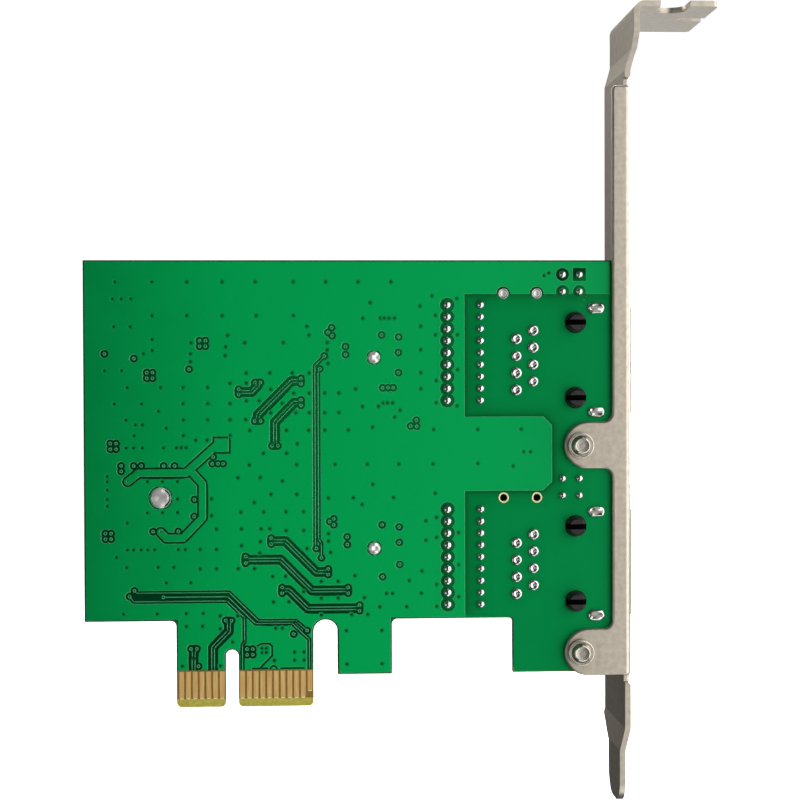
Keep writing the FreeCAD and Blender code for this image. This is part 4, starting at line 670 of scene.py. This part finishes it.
# %% Closed vias: rows at a height, each with its places along the board
CLOSED_VIAS = {
    64.4: [47.3], 64.0: [46.6], 63.1: [-17.0, -11.6, -6.5, -1.3, 3.6, 9.2, 14.0, 18.8, 23.7], 61.0: [29.8],
    60.6: [-17.4, -16.1, -14.7, 33.5], 60.0: [20.6], 59.5: [28.0],
    58.1: [-11.6, -6.5, -1.3, 3.7, 9.2, 30.3], 57.7: [19.5, 22.1, 22.7, 23.4, 24.2],
    56.5: [-17.2, -14.8, 11.2, 28.1], 55.2: [-0.5, 11.5, 30.3, 33.6], 54.6: [-11.6],
    54.1: [-5.9, 2.0, 7.7, 14.2], 53.5: [-0.8], 53.0: [-11.6, 14.2, 28.1], 52.5: [-12.9, -6.0],
    52.2: [-0.9], 51.3: [-6.0], 51.0: [14.3], 50.0: [-18.6, -16.1, 33.6],
    49.6: [2.2, 5.7, 9.0, 11.5, 28.1], 48.4: [30.4], 48.1: [-0.2, 2.2], 47.5: [-15.3, -10.4, -7.1, -3.5],
    47.2: [5.8, 18.4, 28.1], 46.6: [9.2, 11.5, 13.8, 15.9], 45.5: [2.2, 4.1],
    45.1: [-17.2, -13.2, -7.1, -3.5, -0.2, 7.5, 22.5, 23.1, 23.9, 30.4], 44.6: [19.4, 21.8, 33.5],
    44.0: [-10.7, 25.0], 43.7: [5.8, 9.5, 11.5, 13.8, 15.9], 43.0: [24.2],
    42.7: [-15.5, -7.1, -3.5, -0.2, 2.1], 42.0: [-14.1, -13.1], 41.5: [-9.6, 20.9],
    41.1: [2.7, 8.1, 11.4, 13.8, 17.3, 30.0, 36.6, 43.1], 40.4: [-14.3, -7.1, -0.2], 39.7: [-5.3, -3.6],
    39.1: [9.7], 38.6: [-15.5, -14.4, -13.1, -10.0, -8.1, -7.4, -6.7], 37.7: [4.7, 8.1, 43.5, 44.5],
    36.0: [2.6, 9.6, 15.3, 20.1, 24.8, 29.9, 36.6], 35.6: [41.9], 34.4: [-18.3],
    34.1: [0.9, 4.2], 33.6: [-18.3, -12.4, -10.2, -8.0, 7.5], 33.0: [20.9], 32.4: [-18.3],
    31.6: [5.8, 9.6, 30.2], 31.0: [-18.3, -3.0, 14.3, 18.0, 24.0, -8.0], 30.4: [3.3],
    30.0: [-18.3, 19.3], 29.0: [-12.4, -10.2, -8.0, 1.3, 4.7, 8.0, 10.6], 28.5: [-3.0], 28.0: [30.4],
    27.5: [-15.4, 28.8], 26.5: [-2.3, 1.4, 4.3, 5.6], 26.2: [8.0, 10.6], 25.7: [14.3, 33.7],
    25.0: [30.4], 24.6: [4.2, 14.3, 28.8], 24.0: [1.4],
    23.5: [-15.4, -14.5, -13.4, -12.4, -11.4, -7.9, -6.9, -4.7, -2.3, 11.1], 22.9: [4.1, 14.6],
    22.4: [-17.0], 20.9: [-15.5, -10.9, -8.6, 33.7], 20.6: [-4.7, -2.3, 0.9, 3.3], 20.0: [28.2],
    19.4: [6.0, 7.9, 18.2], 18.6: [-9.7, -6.1, 13.2, 15.7, 26.3], 18.0: [30.4], 17.1: [10.6],
    16.7: [22.9, 23.8, 28.1], 16.1: [13.2, 15.7, 19.6, 33.7], 15.6: [6.1, 8.4], 14.7: [21.9, 25.9, 30.4],
    14.0: [-16.0, -11.1, -6.8, -4.3], 13.6: [-1.8, 0.8, 13.2, 17.7, 20.1], 12.1: [-6.8, -4.4],
    11.7: [-1.8, 6.4, 7.4], 11.2: [16.9, 22.2], 9.7: [-0.0], 8.7: [4.4, 5.0], 8.1: [4.4, 5.0, 9.2, 10.6],
    6.9: [6.2, 9.2, 10.6], 6.2: [-7.4, -1.8, 17.0, 22.2],
}
closed_places = [(x, z) for z, row in CLOSED_VIAS.items() for x in row]
print(len(SIGNAL_VIAS), "signal vias,", len(closed_places), "closed vias")

# %% Clearances round the soldered leads and the chips' heat holes
HEAT_HOLES = [(21.17, 51.86, 0.9), (21.16, 23.45, 0.9), (-10.45, 31.17, 1.55)]
LEAD_CLEARANCE = 1.08


def lead_clearances():
    """The left row of each transformer and the upper lamps stand in round gaps, one of them square."""
    laid = [(1, disc(x, z, LEAD_CLEARANCE, 24)) for x, z in JOINT_PLACES["transformer_solder_joints"]
            if x < GAP_LEFT]
    for x, z in JOINT_PLACES["lamp_solder_joints"]:
        if z > 63 and x > 51:
            laid.append((1, square(x, z, 0.98)))
        elif z > 55:
            laid.append((1, disc(x, z, 0.98, 24)))
    laid += [(1, disc(x, z, 1.02, 24)) for x, z in SPARE_HOLES]
    for x, z, radius in HEAT_HOLES:
        laid.append((5, disc(x, z, radius * 0.97, 20)))
        laid += [(5, ring_part(x, z, radius + 0.06, radius + 0.24, turn + 12, turn + 78))
                 for turn in (0, 90, 180, 270)]
    return laid


# %% [markdown]
# ## Laying the two layers of the solder side
# The lacquer over the laminate is a sheet 0.02 mm thick. The lacquered copper stands 0.045 mm above
# it. Its edges slope over 0.06 mm, about twice the real amount, so that they catch the light.

# %% Lay the solder side
MASK_THICK, COPPER_THICK, COPPER_SLOPE = 0.02, 0.045, 0.06
DIMPLE_RADIUS = 0.44

ground_shapes = [(0, board_outline(GROUND_INSET)), (1, gap_outline)]
ground_shapes += solder_side_traces() + lead_clearances()
dimple_holes = [(5, disc(x, z, DIMPLE_RADIUS - COPPER_SLOPE, 12)) for x, z in closed_places]
ground_shapes += dimple_holes
ground_shapes += open_holes(7)
SOLDER_LEVELS = (SOLDER_Y - MASK_THICK, SOLDER_Y - MASK_THICK - COPPER_THICK)
_, ground_flat, ground_triangles = plate("solder_side_copper", ground_shapes, SOLDER_LEVELS, COPPER_SLOPE,
                                         MASK_COPPER, "board", edge_finish=MASK_EDGE_HIGHLIGHT)


# %% Dimples where the lacquer sank into closed vias
# Radius and height: the mouth, two rings ever deeper and the deepest point
DIMPLE_PROFILE = [(DIMPLE_RADIUS, 0.0), (DIMPLE_RADIUS * 0.5, -0.03), (DIMPLE_RADIUS * 0.28, -0.055),
                  (0.0, -0.06)]
RING_SUNK = [0.0, 0.45, 1.0]  # how deep each ring sank, from 0 to 1


def make_sunk_lacquer():
    """The lacquer is thicker and darker the deeper it sank, which the "sunk" attribute gives."""
    material, tree, shader = finish_named("solder_mask_sunk_in_a_via", Roughness=0.4, IOR=1.5,
                                          Specular_IOR_Level=0.12)
    sunk = add(tree, "ShaderNodeAttribute", {"attribute_name": "sunk"}).outputs["Fac"]
    coloured(tree, shader, sunk, [(0.0, "#00AC56"), (0.5, "#007C3C"), (1.0, "#004A24")])
    return material


SUNK_LACQUER = make_sunk_lacquer()


def lay_dimples(name, face_y, side, turns=12):
    """One face's closed vias: open dishes, with how deep each point sank as an attribute. The side is 1
    or -1."""
    count = len(closed_places)
    body, faces = turned_body(DIMPLE_PROFILE, turns)
    vertices, faces = repeated(body, faces[:-1], closed_places, [(1, side, 1)] * count, face_y)
    made = piece(name, vertices, faces, SUNK_LACQUER, "board", smooth=True)
    depths = np.tile([*np.repeat(RING_SUNK, turns), 1.0], count)
    made.data.attributes.new("sunk", "FLOAT", "POINT").data.foreach_set("value", depths)


lay_dimples("solder_side_closed_vias", SOLDER_LEVELS[1], 1)

# %% The lacquer over the laminate, with its distance to the copper
def distance_to_copper(points, flat, triangles, reach):
    """Shortest distance from points to the copper's rim, up to reach, in mm: to each edge a to b it is
    |p - a - t (b - a)| with t the clipped projection."""
    rim = rim_of(triangles)
    start, leg = flat[rim[:, 0]], flat[rim[:, 1]] - flat[rim[:, 0]]
    length = np.maximum((leg ** 2).sum(axis=1), 1e-12)
    best = []
    for some in np.array_split(points, len(points) // 400 + 1):  # a few hundred at a time, to save memory
        away = some[:, None, :] - start
        along = np.clip((away * leg).sum(axis=2) / length, 0, 1)
        best.append(np.linalg.norm(away - along[:, :, None] * leg, axis=2).min(axis=1))
    return np.minimum(np.concatenate(best), reach)


def inside(points, loop):
    """True where a ray to +X crosses the loop an odd number of times."""
    x, z = points[:, :1], points[:, 1:]
    ax, az = loop[:, 0], loop[:, 1]
    bx, bz = np.roll(ax, -1), np.roll(az, -1)
    crosses = (az > z) != (bz > z)
    at = ax + (z - az) * (bx - ax) / np.where(bz == az, 1, bz - az)
    return (crosses & (x < at)).sum(axis=1) % 2 == 1


FULL_CLEAR, LACQUER_INSET = 3.0, 0.12
grid = np.stack(np.meshgrid(np.arange(GAP_LEFT + 0.3, RIGHT - 0.3, 0.5), np.arange(5.2, 61.2, 0.5)), axis=2)
grid = grid.reshape(-1, 2)
grid = grid[inside(grid, board_outline(0.3)) & inside(grid, gap_outline)]
lacquer_shapes = [(0, board_outline(LACQUER_INSET))] + open_holes(1)
LEADS = np.vstack(list(JOINT_PLACES.values()))


def lay_lacquer(name, face_y, top_y, copper_flat, copper_triangles, shade_near_leads):
    """One side's lacquer. Its attribute is the distance to the copper over FULL_CLEAR, and zero outside the
    gap, which paints shade in the clearances as well as the lacquer's depth. Where asked, painted shade darkens
    it near the leads, by a share that rises from 0.4 to 1 between 0.5 and 2.1 mm."""
    made, flat, _ = plate(name, lacquer_shapes, (face_y, top_y), 0.0, MASK_LAMINATE, "board", grid)
    distance = distance_to_copper(flat, copper_flat, copper_triangles, FULL_CLEAR)
    # In the ground area's clearances the lacquer takes its darkest colour: partly its depth, partly painted
    # shade
    distance[~inside(flat, gap_outline)] = 0
    # Painted shade: the lacquer darkens round the soldered leads, where shade falls
    if shade_near_leads:
        to_lead = np.linalg.norm(flat[:, None, :] - LEADS, axis=2).min(axis=1)
        distance *= 0.4 + 0.6 * np.clip((to_lead - 0.5) / 1.6, 0, 1)
    clear_and_painted_shade = made.data.attributes.new("clear_and_painted_shade", "FLOAT", "POINT")
    clear_and_painted_shade.data.foreach_set("value", np.tile(distance / FULL_CLEAR, 2))


lay_lacquer("solder_side_lacquer", SOLDER_Y, SOLDER_LEVELS[0], ground_flat, ground_triangles, shade_near_leads=True)

# %% [markdown]
# ## Solder
# A good joint is a small hill of tin that wets the pad and climbs the lead. It is a profile turned
# round the lead's axis: a convex shoulder and the lead's rounded end. All joints are one mesh per
# group. Each is a little higher or lower, and wider or narrower, as hand and wave leave them.

# %% Turned joints
LEAD_PROFILE = np.array([
    (0.66, 0.0), (0.655, 0.1), (0.6, 0.24), (0.5, 0.33), (0.4, 0.36), (0.3, 0.33), (0.24, 0.25), (0.18, 0.2),
    (0.09, 0.22), (0.0, 0.23),
])
DOME_PROFILE = np.array([
    (0.68, 0.0), (0.67, 0.1), (0.62, 0.23), (0.52, 0.35), (0.4, 0.43), (0.26, 0.49), (0.13, 0.52),
    (0.0, 0.53),
])


SLENDER_ROW = (36, 39)  # the pins between these X are thinner, so their joints are too
for name, profile, wide in (("port_solder_joints", LEAD_PROFILE, 1.28),
                            ("lamp_solder_joints", DOME_PROFILE, 0.86),
                            ("transformer_solder_joints", DOME_PROFILE, 0.95)):
    places = JOINT_PLACES[name]
    uneven = RNG.uniform(0.85, 1.15, len(places))
    slender = np.where((places[:, 0] > SLENDER_ROW[0]) & (places[:, 0] < SLENDER_ROW[1]), 0.92, 1.0)
    vertices, faces = turned(places, profile * (wide, 1), uneven, widths=slender * (1 + (uneven - 1) * 0.4))
    hills = piece(name + "_wetted", vertices, faces, SOLDER, "solder", smooth=True)
    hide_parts(name)

# %% Solder that came up through the chips' heat holes
HEAT_PROFILE = np.array([
    (1.0, 0.0), (0.98, 0.06), (0.92, 0.1), (0.75, 0.14), (0.55, 0.165), (0.35, 0.18), (0.18, 0.19), (0.0, 0.19),
])
for index, (x, z, radius) in enumerate(HEAT_HOLES):
    profile = HEAT_PROFILE * (radius * 0.98, 1.0)
    vertices, faces = turned([(x, z)], profile, [1.0], 28)
    # A skin that set in waves: 0.07 mm high, leaning a little to one side
    off_x, off_z = vertices[:, 0] - x, vertices[:, 2] - z
    wave = 0.07 * np.sin(off_x * 4.4 / radius + index) * np.cos(off_z * 3.6 / radius)
    vertices[:, 1] += np.where(vertices[:, 1] < SOLDER_Y - 0.08, wave + 0.1 * off_x, 0)
    piece(f"heat_hole_solder_{index}", vertices, faces, SOLDER_DULL, "solder", smooth=True)

# %% [markdown]
# ## Solder round the shells' prongs, and the rims of the spare holes
# Each prong stands in a slot, so its solder is an oval hill: the same profile idea, carried round a
# stadium instead of a circle. Two spare holes stand by each port. The upper two took up solder. The
# lower two kept their gold rims, and black discs at their far side paint the shade seen through them.

# %% Oval hills on the prongs
PRONG_PROFILE = np.array([
    (0.86, 0.0), (0.84, 0.14), (0.74, 0.3), (0.6, 0.4), (0.45, 0.42), (0.3, 0.4), (0.15, 0.41), (0.02, 0.41),
    (0.02, 0.0),
])
vertices, faces = oval_rings(PRONGS, 0.5, PRONG_PROFILE)
askew = 0.09 * np.sin(vertices[:, 0] * 4.0) * np.cos(vertices[:, 2] * 5.0)  # pulled as it set
vertices[:, 1] += np.where(vertices[:, 1] < SOLDER_Y - 0.2, askew, 0)
vertices[:, 2] += askew
prong_rings = piece("prong_solder_joints_wetted", vertices, faces, SOLDER, "solder", smooth=True)
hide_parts("prong_solder_joints")

# %% Spare holes
RIM_PROFILE = np.array([(0.8, 0.0), (0.79, 0.05), (0.74, 0.07), (0.58, 0.07), (0.545, 0.03), (0.545, 0.0)])
PLUG_PROFILE = np.array([(0.56, -0.3), (0.56, 0.0), (0.5, 0.04), (0.36, 0.0), (0.2, -0.03), (0.0, -0.04)])
upper_holes, lower_holes = SPARE_HOLES[:2], SPARE_HOLES[2:]
vertices, faces = oval_rings(upper_holes, 1e-4, RIM_PROFILE)
piece("tinned_hole_rims", vertices, faces, TIN, "gold", smooth=True)
vertices, faces = turned(upper_holes, PLUG_PROFILE, [1.0, 1.0])
piece("spare_hole_solder_plugs", vertices, faces, SOLDER_DULL, "solder", smooth=True)
vertices, faces = oval_rings(lower_holes, 1e-4, RIM_PROFILE)
piece("gilded_hole_rims", vertices, faces, GOLD_TIP, "gold", smooth=True)
# Painted shade: black discs behind the lower holes stand for the shade seen through them
plate("spare_hole_closing_lacquer", [(0, disc(x, z, 0.8, 20)) for x, z in lower_holes],
      (COMPONENT_Y - 0.02, COMPONENT_Y + 0.07), 0.0, BLACK_EPOXY, "board")

# %% [markdown]
# ## Small ends that show from the solder side
# The ports' split pegs end in a cone cut by a slot, so that they can spring through their holes. The
# bracket's tabs have pressed collars, whose rims are rounded, and the screws end in a blunt point.
# Each contact ends in the stub of the thin run that carried the gilding current.

# %% Peg ends
PEG_SLOT, PEG_RINGS = 0.4, ((1.43, -1.74), (1.3728, -2.01), (1.08, -2.34))  # half slot; radius and Y


def peg_halves(places, count=14):
    """Two D-shaped cones per peg. Each D is an arc of radius r from angle asin(slot / r) to pi less
    that, closed by a straight, and the three rings are joined."""
    rings = []
    for radius, y in PEG_RINGS:
        start = math.asin(PEG_SLOT / radius)
        rings += [*ring_stack([(radius, -y)], np.linspace(start, math.pi - start, count))]
    body, faces = joined(np.array(rings))
    faces = [face[:1] + face[:0:-1] for face in faces]  # turned round, to face outwards
    return repeated(body, faces, [place for place in places for _ in range(2)],
                    [(1, 1, 1), (1, 1, -1)] * len(places), 0.0)


vertices, faces = peg_halves(PEGS)
piece("split_peg_ends", vertices, faces, BLACK_NYLON, "black_moulding")
# Painted shade: near-black sheets fill the floor of each peg's slot
plate("peg_slot_floors", [(0, square(x, z, 1.3, 0.38)) for x, z in PEGS], (SOLDER_Y, SOLDER_Y - 0.1), 0.0,
      SLOT_PAINTED_SHADE, "black_moulding")

# %% Collars and screw ends
SHEET, COLLAR_RISE = 0.86, 0.75
COLLAR_PROFILE = np.array([
    (2.02, 0.0), (1.98, 0.5), (1.93, 0.68), (1.82, 0.79), (1.7, 0.81), (1.6, 0.76), (1.54, 0.62), (1.53, 0.4),
    (1.53, 0.0),
])
vertices, faces = oval_rings(SCREWS, 1e-4, COLLAR_PROFILE)
vertices[:, 1] -= SHEET
piece("collar_rims", vertices, faces, NICKEL_BRIGHT, "bracket_sheet", smooth=True)
SCREW_END_PROFILE = np.array([
    (1.46, -0.4), (1.46, 0.0), (1.38, 0.16), (1.34, 0.2), (1.3, 0.42), (1.2, 0.62), (1.06, 0.7), (0.85, 0.68),
    (0.5, 0.66), (0.0, 0.66),
])
vertices, faces = turned(SCREWS, SCREW_END_PROFILE, [1.0, 1.0], 12)
vertices[:, 1] -= SHEET + COLLAR_RISE
piece("screw_ends", vertices, faces, NICKEL_BRIGHT, "screw_steel")

# %% Stubs under the contacts, and specks of solder
fingers = solid_boxes("solder_side_contacts", BOX_POINTS)
stubs = [(0, square(x, z - 0.1, 0.27, 0.1)) for x, z in zip(fingers.mean(axis=1)[:, 0], fingers[:, 0, 2])]
plate("contact_stubs", stubs, (SOLDER_Y, SOLDER_Y - 0.05), 0.03, GOLD_TIP, "gold")

SPECKS = [(52.35, 61.0), (52.6, 60.4), (53.0, 60.9), (53.4, 60.6), (52.2, 59.6), (53.1, 61.4), (47.1, 62.6)]
plate("solder_specks", [(0, disc(x, z, 0.06 + 0.02 * (i % 3), 8)) for i, (x, z) in enumerate(SPECKS)],
      (SOLDER_LEVELS[0], SOLDER_Y - 0.1), 0.03, SOLDER, "solder", smooth=True)

# %% [markdown]
# ## The component side
# The other face has the same two layers. Its plan follows the parts that stand on it: every metal end
# or lead of a part gets a tinned pad under it and a gap round the pad, and short runs join them.

# %% Pads from the parts' own metal ends
PAD_SOURCES = {  # how far each kind of pad reaches past its metal end
    "small_ceramic_capacitors_ends": 0.12, "resistors_ends": 0.12, "large_ceramic_capacitors_ends": 0.2,
    "power_coil_terminals": 0.25, "bridge_chip_leads": 0.02, "memory_chip_leads": 0.06,
    "voltage_regulator_leads": 0.15, "upper_controller_pads": 0.04, "lower_controller_pads": 0.04,
}
PAD_GAP = 0.16
pad_shapes, pad_gaps = [], []
for name, margin in PAD_SOURCES.items():
    for low, high in solid_boxes(name, LEAD_POINTS if name.endswith("leads") else BOX_POINTS):
        (x, _, z), (half_x, _, half_z) = (low + high) / 2, (high - low) / 2 + margin
        pad_shapes.append((0, square(x, z, half_x, half_z)))
        pad_gaps.append((1, square(x, z, half_x + PAD_GAP, half_z + PAD_GAP)))
print(len(pad_shapes), "pads")


def component_side_traces():
    """Ranked loops: pairs from each controller to its transformer and from the bridge chip down."""
    laid = []
    for middle_level in PORT_LEVELS:
        for step in range(4):
            level = middle_level - 2.6 + 2.2 * step
            middle = [(26.6, level), (28.4, level), (29.6, level)]
            for turn in (0.5, -0.5):
                laid += traced(beside(middle, 0.4 * turn), 0.16, 0.22)
    for step in range(5):
        start, drop = -6.2 + 0.8 * step, 0.3 * step
        laid += traced([(start, 22.6), (start, 19.0 - drop), (start + 1.2, 17.6 - drop), (start + 1.2, 6.0)],
                       0.16, 0.22)
    for step in range(8):
        level = 27.4 + 0.8 * step
        laid += traced([(-1.9, level), (0.2 + 0.1 * step, level)], 0.16, 0.2)
    return laid


# %% Lay the component side
COMPONENT_LEVELS = (COMPONENT_Y + MASK_THICK, COMPONENT_Y + MASK_THICK + COPPER_THICK)
component_shapes = [(0, board_outline(GROUND_INSET)), (1, gap_outline)] + component_side_traces() + pad_gaps
component_shapes += dimple_holes + open_holes(7)
_, flat, triangles = plate("component_side_copper", component_shapes, COMPONENT_LEVELS, COPPER_SLOPE,
                           MASK_COPPER, "board", edge_finish=MASK_EDGE_HIGHLIGHT)
lay_dimples("component_side_closed_vias", COMPONENT_LEVELS[1], -1)
plate("component_side_pads", pad_shapes, (COMPONENT_LEVELS[0], COMPONENT_Y + 0.06), 0.03, TIN, "tinned_lead")
lay_lacquer("component_side_lacquer", COMPONENT_Y, COMPONENT_LEVELS[0], flat, triangles, shade_near_leads=False)

# %% [markdown]
# ## Floor, light and camera
# The card stands over a plain white floor in a white round room, which only the camera sees. Its
# light comes from soft panels instead: a broad key panel to the right, which lights the lacquer without
# mirroring in it, a tall strip beside the camera for the satin bracket, weak ones from the left and
# below, and four behind for the component side. The air round them is a dark grey, so the solder has
# something dark to mirror.

# %% Room
FLOOR_Z, ROOM_RADIUS = -60.0, 1600.0


def round_room(turns=48, rows=24):
    """A sphere seen from within, r (cos t cos a, cos t sin a, sin t), with z cut off at the floor."""
    turn = np.linspace(0, 2 * np.pi, turns + 1)[:-1]
    tilt = np.linspace(-np.pi / 2, np.pi / 2, rows + 1)[1:-1, None]
    x, y, z = np.cos(tilt) * np.cos(turn), np.cos(tilt) * np.sin(turn), np.sin(tilt) + 0 * turn
    rings = np.stack([x, y, z], axis=2)
    points, faces = joined(rings * ROOM_RADIUS, tip=(0, 0, ROOM_RADIUS))
    points[:, 2] = np.maximum(points[:, 2], FLOOR_Z)
    return points, faces


vertices, faces = round_room()
room_mesh = bpy.data.meshes.new("white_room_and_floor")
room_mesh.from_pydata((vertices * MM).tolist(), [], faces)
room = bpy.data.objects.new("white_room_and_floor", room_mesh)
bpy.context.scene.collection.objects.link(room)
white_paper = finish_named("white_background_paper", Base_Color=linear("#F4F4F4"), Roughness=0.9,
                           Emission_Color=linear("#FFFFFF"), Emission_Strength=1.0)[0]
room_mesh.materials.append(white_paper)
for way in ("visible_diffuse", "visible_glossy", "visible_transmission", "visible_shadow"):
    setattr(room, way, False)


# %% Lights
def soft_panel(name, place_mm, aim_mm, size_mm, watts, colour):
    """A rectangular area light at a place, turned to a point and hidden from the camera."""
    light = bpy.data.lights.new(name, "AREA")
    light.shape = "RECTANGLE"
    light.size, light.size_y = size_mm[0] * MM, size_mm[1] * MM
    light.energy = watts
    light.color = linear(colour)[:3]
    lamp = bpy.data.objects.new(name, light)
    lamp.location = Vector(place_mm) * MM
    lamp.rotation_euler = (Vector(aim_mm) - Vector(place_mm)).to_track_quat("-Z", "Y").to_euler()
    lamp.visible_camera = False
    bpy.context.scene.collection.objects.link(lamp)


CARD_MIDDLE, FLANGE = (40, 0, 45), (62, 0, 100)
PANELS = [  # name, place, aim, size, watts, colour
    ("key_panel_right", (275, -165, 60), (24, 0, 45), (420, 600), 1.53, "#FFFFFF"),
    ("strip_beside_camera", (140, -310, 40), (58, 0, 45), (130, 400), 0.07, "#FFF8EC"),
    ("front_panel_left", (-330, -330, -60), CARD_MIDDLE, (300, 300), 0.22, "#FFFFFF"),
    ("low_panel", (120, -120, -260), (62, 0, 90), (240, 200), 0.22, "#FFFFFF"),
    ("rear_panel_left", (-400, 420, 300), (18, 0, 45), (300, 260), 1.0, "#FFFFFF"),
    ("rear_panel_right", (420, 300, 160), CARD_MIDDLE, (260, 260), 2.6, "#FFFFFF"),
    ("rear_panel_top", (20, 300, 440), (30, 0, 45), (300, 200), 1.2, "#FFFFFF"),
    ("rear_panel_low", (150, 420, -10), FLANGE, (180, 140), 0.09, "#FFFFFF"),
]
for panel in PANELS:
    soft_panel(*panel)
print(len(PANELS), "soft panels,", round(sum(panel[4] for panel in PANELS), 2), "W in all")

world = bpy.data.worlds.new("studio_air")
bpy.context.scene.world = world
world.use_nodes = True
air = world.node_tree
direction = add(air, "ShaderNodeTexCoord").outputs["Generated"]
depth = add(air, "ShaderNodeSeparateXYZ", links={"Vector": direction}).outputs["Y"]
behind = add(air, "ShaderNodeMapRange", inputs={"From Min": -1.0, "From Max": 1.0}, links={"Value": depth})
air.links.new(ramp(air, behind.outputs["Result"], [(0.0, "#444444"), (0.5, "#484848"), (1.0, "#4A4A4A")]),
              air.nodes["Background"].inputs["Color"])
bpy.context.scene.view_settings.view_transform = "Standard"

# %% Camera: square on to the board, a little from the left
LENS_MM, SENSOR_MM = 84.9, 36.0
CAMERA_MM = (9.06, -281.04, 50.77)
YAW, PITCH, ROLL = 0.0570, -0.0187, -0.0030


def camera_axes(yaw, pitch, roll):
    """Right, up and back axes: forward is (sin y cos p, cos y cos p, sin p), then a turn by roll."""
    forward = Vector((math.sin(yaw) * math.cos(pitch), math.cos(yaw) * math.cos(pitch), math.sin(pitch)))
    level = Vector((math.cos(yaw), -math.sin(yaw), 0))
    up = level.cross(forward)
    right = level * math.cos(roll) + up * math.sin(roll)
    return right, up * math.cos(roll) - level * math.sin(roll), -forward


right, up, back = camera_axes(YAW, PITCH, ROLL)
camera_data = bpy.data.cameras.new("camera")
camera_data.lens, camera_data.sensor_width = LENS_MM, SENSOR_MM
camera_data.clip_start, camera_data.clip_end = 0.01, 10.0
camera = bpy.data.objects.new("camera", camera_data)
turned_by = Matrix((right, up, back)).transposed().to_4x4()
camera.matrix_world = Matrix.Translation(Vector(CAMERA_MM) * MM) @ turned_by
bpy.context.scene.collection.objects.link(camera)
bpy.context.scene.camera = camera
